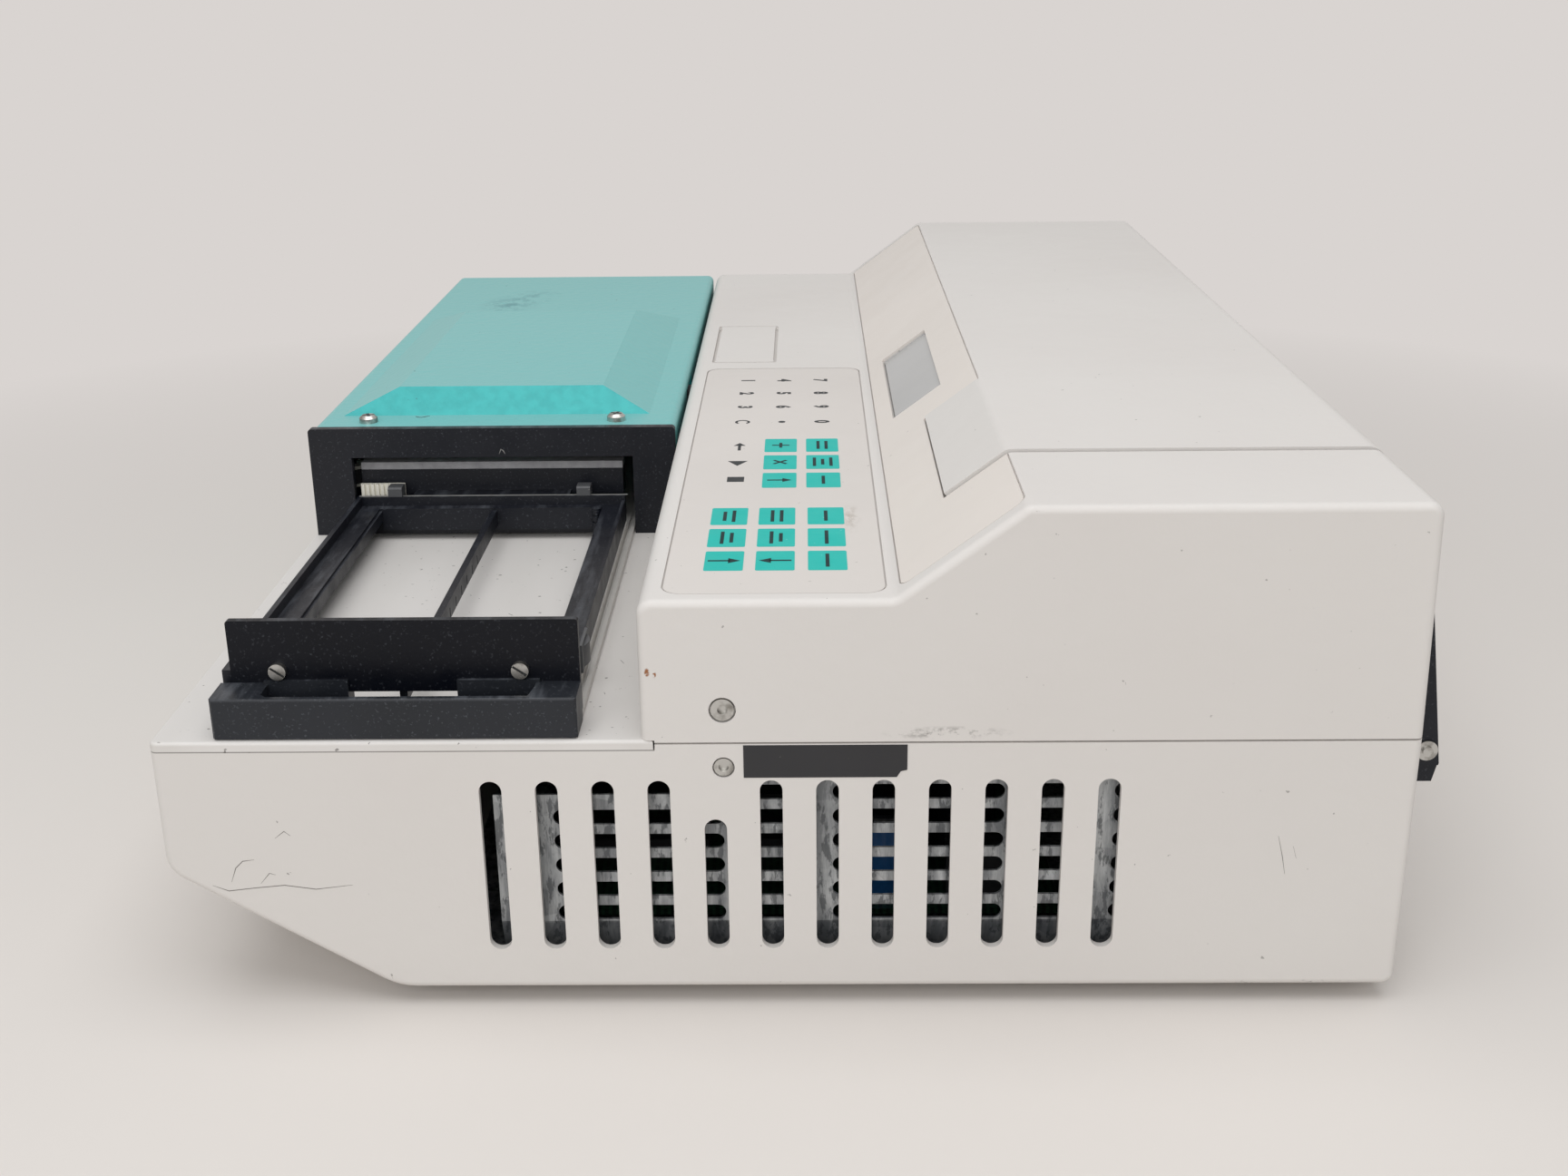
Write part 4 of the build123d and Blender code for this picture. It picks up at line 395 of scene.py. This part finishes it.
BY_SLOT = {
    "housing_grey": paint, "lid_grey": paint, "deck_grey": deck_paint(), "teal_paint": teal_paint(),
    "keypad_film": film("keypad_film", "#D0CAC4"), "fascia_film": film("fascia_film", "#DBD3CB"),
    "display_glass": display_glass(), "foot_rubber": rubber, "black_rubber": rubber,
    "screw_steel": plated, "black_plastic": black, "black_anodised": anodised,
    "galvanised_steel": galvanised_steel, "circuit_board": green,
    "chip_plastic": surface("chip_package", "#2A2B2D", 0.5, vary=0.2, vary_size=5),
    "blue_sleeve": capacitor_sleeve(),
    "transformer_steel": surface("varnished_laminations", "#57524D", 0.45, metal=0.3, vary=0.3,
                                 vary_size=1.0),
    "panel_paint": surface("panel_paint", "#C9C5C0", 0.5, vary=0.05, grain=0.03, grain_size=0.8),
    "bare_aluminium": aluminium, "motor_steel": motor_can, "pale_plastic": nylon,
    "lamp_glass": surface("ceramic_and_glass", "#D8D6CE", 0.2, vary=0.05, vary_size=6),
    "lens_glass": see_through("lens_glass", "#E4EAEC"),
    "filter_glass": see_through("filter_glass", "#7A6FA5", rough=0.05, tint=0.6),
    "clip_plastic": surface("grey_clip", "#4B4C4E", 0.5, vary=0.12, vary_size=4, grain=0.02,
                            grain_size=0.5, dust=0.4),
    "rail_plastic": surface("rail_plastic", "#BDBAB5", 0.4, vary=0.1, vary_size=8, dust=0.4,
                            dust_colour="#56524D"),
    "grey_foam": surface("grey_foam", "#A5A4A6", 0.95, vary=0.25, vary_size=1.6, grain=0.3, grain_size=0.9),
    "printer_plastic": surface("printer_plastic", "#BFBBB5", 0.5, vary=0.06, grain=0.03, grain_size=0.8),
    "printer_paper": surface("printer_paper", "#F0EEE8", 0.8, vary=0.03, vary_size=3),
}
ink = surface("dark_ink", "#24292C", 0.6, vary=0.12, vary_size=2)
field_ink = surface("field_ink", "#0A2B2D", 0.6, vary=0.12, vary_size=2, shine=0.25)
key_teal = surface("printed_teal", "#12B3A8", 0.5, vary=0.05, vary_size=4, dust=0.3,
                   dust_colour="#B8E6E2", shine=0.25)
label_black = surface("blank_strip", "#232326", 0.35, vary=0.12, vary_size=15, grain=0.01, grain_size=0.6,
                      dust=0.3, dust_colour="#8A8884")
scratch = surface("dark_scratch", "#7C7873", 0.7, vary=0.3, vary_size=2)
worn = surface("worn_edge", "#8B8A87", 0.5, vary=0.3, vary_size=3, dust=0.4)
# dark hairs and crumbs; also used for the painted shade in the hood screws' cross recesses and the front
# plate screws' slots
hair_and_painted_shade = surface("dark_hair_and_painted_shade", "#2A2C2E", 0.7, vary=0.2, vary_size=2)

handled = black_moulding("handled_moulding", dust=0.26, smear=0.35, tones=("#1A1D22", "#21242A"))

for entry in frame["record"]["subparts"]:
    node = frame["nodes"][entry["node"]]
    node.data.materials.clear()
    finish = handled if entry["node"] == "handle_bar" else BY_SLOT[entry["material_slot"]]
    node.data.materials.append(finish)


# ------------------------------------------------------------------ flat pieces
def deck_matrix(z):
    """Drawing plane flat on the instrument at a height."""
    return Matrix.Translation(at(0, 0, z)) @ Matrix.Scale(MM, 4)


def side_matrix(x=0.0):
    """Drawing plane on the right side: x rearwards, y up, z out of it."""
    axes = Matrix(((0, 0, 1), (1, 0, 0), (0, 1, 0))).to_4x4()
    return Matrix.Translation(at(x, 0, 0)) @ axes @ Matrix.Scale(MM, 4)


def flat_piece(name, outlines, matrix, thick, material, body="housing"):
    """Closed thin prisms over outlines drawn anticlockwise in a drawing plane."""
    mesh = bmesh.new()
    for outline in outlines:
        low = [mesh.verts.new((x, y, 0)) for x, y in outline]
        high = [mesh.verts.new((x, y, thick)) for x, y in outline]
        mesh.faces.new(list(reversed(low)))
        mesh.faces.new(high)
        for k in range(len(outline)):
            n = (k + 1) % len(outline)
            mesh.faces.new((low[k], low[n], high[n], high[k]))
    mesh.transform(matrix)
    return finish_piece(name, mesh, material, body)


def finish_piece(name, mesh, material, body):
    data = bpy.data.meshes.new(name)
    mesh.to_mesh(data)
    mesh.free()
    data.materials.append(material)
    obj = bpy.data.objects.new(name, data)
    bpy.context.scene.collection.objects.link(obj)
    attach(obj, body)
    return obj


def rounded(x, y, w, h, r, steps=4):
    """Outline of a rounded rectangle round a middle."""
    points = []
    for cx, cy, a0 in ((x + w / 2 - r, y + h / 2 - r, 0), (x - w / 2 + r, y + h / 2 - r, pi / 2),
                       (x - w / 2 + r, y - h / 2 + r, pi), (x + w / 2 - r, y - h / 2 + r, 1.5 * pi)):
        for k in range(steps + 1):
            a = a0 + k * pi / 2 / steps
            points.append((cx + r * cos(a), cy + r * sin(a)))
    return points


def stroke(x0, y0, x1, y1, w):
    """Outline of a straight stroke."""
    length = hypot(x1 - x0, y1 - y0)
    nx, ny = -(y1 - y0) / length * w / 2, (x1 - x0) / length * w / 2
    return [(x0 - nx, y0 - ny), (x1 - nx, y1 - ny), (x1 + nx, y1 + ny), (x0 + nx, y0 + ny)]


def turned(outline, x, y, angle):
    c, s = cos(radians(angle)), sin(radians(angle))
    return [(x + px * c - py * s, y + px * s + py * c) for px, py in outline]


# generic key symbols, each a list of outlines round a middle
def sign_plus(x, y, r=2.7, w=0.95):
    return [stroke(x - r, y, x + r, y, w), stroke(x, y + w / 2, x, y + r, w),
            stroke(x, y - r, x, y - w / 2, w)]


def sign_cross(x, y):
    return [turned(o, x, y, 45) for o in sign_plus(0, 0)]


def sign_arrow(x, y, angle, r=4.2):
    shaft, head = stroke(-r, 0, r * 0.35, 0, 0.95), [(r * 0.25, -1.9), (r, 0), (r * 0.25, 1.9)]
    return [turned(shaft, x, y, angle), turned(head, x, y, angle)]


def sign_triangle(x, y, r=3.0):
    return [[(x - r * 0.7, y - r), (x + r, y), (x - r * 0.7, y + r)]]


def sign_square(x, y, r=2.5):
    return [[(x - r, y - r), (x + r, y - r), (x + r, y + r), (x - r, y + r)]]


def sign_bars(x, y, lengths, w=1.0, gap=2.5):
    top = y + gap * (len(lengths) - 1) / 2
    return [stroke(x - n / 2, top - k * gap, x + n / 2, top - k * gap, w) for k, n in enumerate(lengths)]


def sign_ring(x, y, r=2.5, w=0.85, turn_from=40, turn_to=320, steps=14):
    angles = [radians(turn_from + (turn_to - turn_from) * k / steps) for k in range(steps + 1)]
    outer = [(x + r * cos(a), y + r * sin(a)) for a in angles]
    inner = [(x + (r - w) * cos(a), y + (r - w) * sin(a)) for a in reversed(angles)]
    return [outer + inner]


def sign_dot(x, y, r=0.8, steps=12):
    return [[(x + r * cos(2 * pi * k / steps), y + r * sin(2 * pi * k / steps)) for k in range(steps)]]


# ------------------------------------------------------------------ keypad
DIGIT_X = (-223.3, -204.5, -185.6, -166.0)
DIGIT_Y = (143.7, 156.6, 169.5)
DIGITS = (("1", "2", "3", ""), ("4", "5", "6", ""), ("7", "8", "9", "0"))
WORD_X = (-136.4, -118.3, -101.2)
KEYS_A = ((-137.5, -118.8, -100.0), (156.6, 169.5))
KEYS_B = ((-66.0, -47.6, -29.2), (143.3, 156.4, 169.8))
KEY_SIZE = (14.8, 10.0)
KEY_CORNER = 0.6
DIGIT_SIZE = 6.4
DIGIT_BOLD = 0.30
# lengths of the bars on the keys, by row and column; None where a sign stands
BARS_A = ((None, None, None), ((9, 9), (9, 6, 9), (8,)))
BARS_B = (((10, 8), (8, 10), None), ((10, 10), (7, 10), None), ((9,), (11,), (10,)))


def numerals():
    """Digits of the number keys, one mesh."""
    mesh = bmesh.new()
    for row, y in zip(DIGITS, DIGIT_Y):
        for text, x in zip(row, DIGIT_X):
            if not text:
                continue
            curve = bpy.data.curves.new("digit", "FONT")
            curve.body = text
            curve.size = DIGIT_SIZE
            curve.align_x = "CENTER"
            curve.align_y = "CENTER"
            curve.extrude = PRINT / 2
            curve.offset = DIGIT_BOLD
            curve.resolution_u = 3
            obj = bpy.data.objects.new("digit", curve)
            data = bpy.data.meshes.new_from_object(obj)
            data.transform(deck_matrix(KEY_FILM_Z + PRINT / 2) @ Matrix.Translation((x, y, 0)))
            mesh.from_mesh(data)
            bpy.data.objects.remove(obj)
            bpy.data.meshes.remove(data)
    bmesh.ops.remove_doubles(mesh, verts=mesh.verts, dist=1e-7)
    finish_piece("numerals", mesh, ink, "housing")


def key_fields():
    """Printed teal fields in two groups."""
    fields = []
    for xs, ys in (KEYS_A, KEYS_B):
        fields += [rounded(x, y, *KEY_SIZE, KEY_CORNER) for x in xs for y in ys]
    flat_piece("key_fields", fields, deck_matrix(KEY_FILM_Z), KEY_H, key_teal)


def key_signs():
    """Generic symbols on the film and on the teal fields."""
    signs = sign_ring(DIGIT_X[3], DIGIT_Y[0]) + sign_dot(DIGIT_X[3], DIGIT_Y[1], 1.2)
    y = DIGIT_Y[0]
    signs += sign_arrow(WORD_X[0], y, 180) + sign_triangle(WORD_X[1], y) + sign_square(WORD_X[2], y)
    flat_piece("film_signs", signs, deck_matrix(KEY_FILM_Z), PRINT, ink)
    (ax, ay), (bx, by) = KEYS_A, KEYS_B
    signs = sign_plus(ax[0], ay[0]) + sign_cross(ax[1], ay[0]) + sign_arrow(ax[2], ay[0], 90, 3.6)
    signs += sign_arrow(bx[2], by[0], 90) + sign_arrow(bx[2], by[1], 270)
    for (xs, ys), rows in ((KEYS_A, BARS_A), (KEYS_B, BARS_B)):
        for row_y, row in zip(ys, rows):
            for x, lengths in zip(xs, row):
                signs += sign_bars(x, row_y, lengths) if lengths else []
    flat_piece("field_signs", signs, deck_matrix(KEY_FILM_Z + KEY_H), PRINT, field_ink)


numerals()
key_fields()
key_signs()


# ------------------------------------------------------------------ blank strip and wear
def blank_strip():
    """Dark self-adhesive strip without any print, one corner nicked."""
    y0, y1, z0, z1 = 148.4, 189.2, 61.0, 69.9
    outline = [(y0, z0), (y1 - 2.6, z0), (y1 - 1.6, z0 + 1.6), (y1, z0 + 2.0), (y1, z1), (y0, z1)]
    flat_piece("blank_strip", [outline], side_matrix(), STRIP_T, label_black)


def ribbon(points, width):
    """Thin outline along a line of points, tapering to its ends."""
    left, right = [], []
    for k, (x, y) in enumerate(points):
        x0, y0 = points[max(k - 1, 0)]
        x1, y1 = points[min(k + 1, len(points) - 1)]
        length = hypot(x1 - x0, y1 - y0)
        half = width / 2 * (0.35 if k in (0, len(points) - 1) else 1.0)
        nx, ny = -(y1 - y0) / length * half, (x1 - x0) / length * half
        left.append((x + nx, y + ny))
        right.append((x - nx, y - ny))
    return right + list(reversed(left))


def ribbons(name, lines, width, matrix, thick, material):
    """Scratches or hairs of one kind as one piece."""
    outlines = [ribbon(line, width) for line in lines]
    flat_piece(name, outlines, matrix, thick, material)


def scratches():
    """Hair-thin scratches on the right side, a nick on the frame, and hairs on the hood and deck."""
    low = [
        [(11.5, 31.0), (15.5, 29.4), (22.0, 30.2), (30.0, 31.0), (38.0, 29.8), (47.5, 31.0)],
        [(16.5, 32.0), (18.0, 36.0), (20.0, 38.0), (23.0, 38.4)],
        [(29.0, 44.5), (31.5, 46.5), (33.0, 45.2)],
        [(24.0, 31.5), (26.5, 34.5), (28.0, 34.0)],
    ]
    ribbons("side_scratches", low, 0.22, side_matrix(), MARK, scratch)
    rear = [[(283.0, 44.0), (284.5, 38.0), (285.5, 33.0)], [(287.0, 41.0), (288.0, 37.5)]]
    ribbons("rear_scratches", rear, 0.18, side_matrix(), MARK, scratch)
    deck = [[(-68.0, 36.0), (-66.8, 38.0), (-67.2, 40.5)], [(-88.0, 76.5), (-86.5, 78.0)],
            [(-52.0, 113.0), (-49.5, 114.2)], [(-30.0, 110.8), (-28.6, 111.2)]]
    curl = [(-177.6, 33.6), (-176.6, 34.7), (-176.3, 36.0), (-177.3, 37.2), (-178.2, 38.3)]
    ribbons("hood_hair", [curl], 0.5, deck_matrix(HOOD_TOP_Z), HAIR, hair_and_painted_shade)
    nick = [(63.6, 99.0), (64.3, 100.6), (65.0, 100.2), (65.6, 99.0)]
    ribbons("frame_nick", [nick], 0.35, side_matrix(FRAME_FRONT_X), MARK, worn)
    ribbons("deck_hairs", deck, 0.25, deck_matrix(DECK_Z), HAIR, hair_and_painted_shade)


def wall_edge():
    """Pale worn edge along the top of the tray's inner wall."""
    outline = [(-162.0, 16.4), (-160.9, 16.4), (-160.9, 105.4), (-162.0, 105.4)]
    flat_piece("worn_edge", [outline], deck_matrix(TRAY_TOP_Z), EDGE, worn, body="carriage")


blank_strip()
scratches()
wall_edge()


# ------------------------------------------------------------------ screw drives
def screw_crosses():
    """Painted shade of the cross recesses: dark crosses on the heads of the hood's screws."""
    outlines = [turned(o, x, y, angle) for x, y, angle in HOOD_SCREWS for o in sign_plus(0, 0, 2.0, 1.0)]
    flat_piece("hood_screw_crosses", outlines, deck_matrix(HOOD_TOP_Z + PAN_HEAD), MARK, hair_and_painted_shade)


def slot_shadows():
    """Dark bottoms of the slots in the front plate's screws."""
    outlines = [turned(stroke(-2.05, 0, 2.05, 0, 0.56), y, z, -35) for y, z in FACE_SCREWS]
    flat_piece("slot_shadows", outlines, side_matrix(SLOT_BOTTOM_X), 0.3, hair_and_painted_shade, body="carriage")


screw_crosses()
slot_shadows()


# ------------------------------------------------------------------ floor, light and camera
BACKDROP = "#D9D4D1"
FLOOR_FADE = (0.33, 0.70)     # where the floor goes over into the backdrop, in metres from the middle


def emission_background(name, seen, lit):
    """World that lights evenly while the camera, mirrors and glass see a pale backdrop."""
    world = bpy.data.worlds.new(name)
    world.use_nodes = True
    nodes = world.node_tree.nodes
    nodes.clear()
    path = add(nodes, "LightPath").outputs
    shown = path["Is Camera Ray"]
    for kind in ("Is Glossy Ray", "Is Transmission Ray"):
        shown = add(nodes, "Math", {0: shown, 1: path[kind]}, operation="MAXIMUM").outputs[0]
    light = add(nodes, "Background", {"Color": linear(lit[0]), "Strength": lit[1]})
    pale = add(nodes, "Background", {"Color": linear(seen), "Strength": 1.0})
    both = add(nodes, "MixShader", {0: shown, 1: light.outputs[0], 2: pale.outputs[0]})
    nodes.id_data.links.new(both.outputs[0], add(nodes, "OutputWorld").inputs["Surface"])
    bpy.context.scene.world = world


def softbox(name, place, aim, size, power, colour):
    """Large area lamp from one point of the row frame towards another, in metres."""
    lamp = bpy.data.lights.new(name, "AREA")
    lamp.shape = "RECTANGLE"
    lamp.size, lamp.size_y = size
    lamp.energy = power
    lamp.color = linear(colour)[:3]
    obj = bpy.data.objects.new(name, lamp)
    obj.location = place
    obj.rotation_euler = (Vector(aim) - Vector(place)).to_track_quat("-Z", "Y").to_euler()
    bpy.context.scene.collection.objects.link(obj)


def floor_paint():
    """Pale floor; away from the instrument the camera sees it as plain backdrop."""
    made, nodes, shader, coords = start("floor_paint")
    cloud = cloudy(nodes, coords, 200, 2.0)
    give(nodes, shader, "Base Color", mixed(nodes, cloud, linear("#D5CFC9"), linear("#D8D2CC")))
    shader.inputs["Roughness"].default_value = 0.8
    far = add(nodes, "VectorMath", {0: coords}, operation="LENGTH").outputs["Value"]
    seen = times(nodes, add(nodes, "LightPath").outputs["Is Camera Ray"], remap(nodes, far, *FLOOR_FADE))
    plain = add(nodes, "Emission", {"Color": linear(BACKDROP)})
    both = add(nodes, "MixShader", {0: seen, 1: shader.outputs["BSDF"], 2: plain.outputs[0]})
    nodes.id_data.links.new(both.outputs[0], nodes["Material Output"].inputs["Surface"])
    return made


def floor():
    """Plain pale floor that keeps the shadow."""
    mesh = bmesh.new()
    bmesh.ops.create_grid(mesh, x_segments=1, y_segments=1, size=6.0)
    data = bpy.data.meshes.new("floor")
    mesh.to_mesh(data)
    mesh.free()
    data.materials.append(floor_paint())
    obj = bpy.data.objects.new("floor", data)
    bpy.context.scene.collection.objects.link(obj)


def camera():
    """View from the right end, slightly above."""
    pitch, yaw, roll = radians(20.34), radians(0.79), radians(-0.64)
    forward = Vector((-cos(yaw) * cos(pitch), -sin(yaw) * cos(pitch), -sin(pitch)))
    level = Vector((-sin(yaw), cos(yaw), 0))
    level = (level - forward * level.dot(forward)).normalized()
    upward = level.cross(forward)
    right = cos(roll) * level + sin(roll) * upward
    up = -sin(roll) * level + cos(roll) * upward
    data = bpy.data.cameras.new("camera")
    data.sensor_width = 36.0
    data.lens = 40.72
    data.clip_start = 0.01
    obj = bpy.data.objects.new("camera", data)
    turn = Matrix((right, up, -forward)).transposed().to_4x4()
    obj.matrix_world = Matrix.Translation(at(398.87, 164.49, 259.34)) @ turn
    bpy.context.scene.collection.objects.link(obj)
    bpy.context.scene.camera = obj


emission_background("studio", BACKDROP, ("#FBFDFF", 0.50))
softbox("overhead", (0.35, -0.06, 1.25), (0.05, 0, 0.08), (1.3, 1.1), 9.5, "#FCFDFF")
softbox("camera_side", (1.4, -0.2, 0.7), (0.1, 0, 0.05), (1.2, 0.9), 7.0, "#FCFDFF")
floor()
camera()
bpy.context.scene.view_settings.view_transform = "Standard"
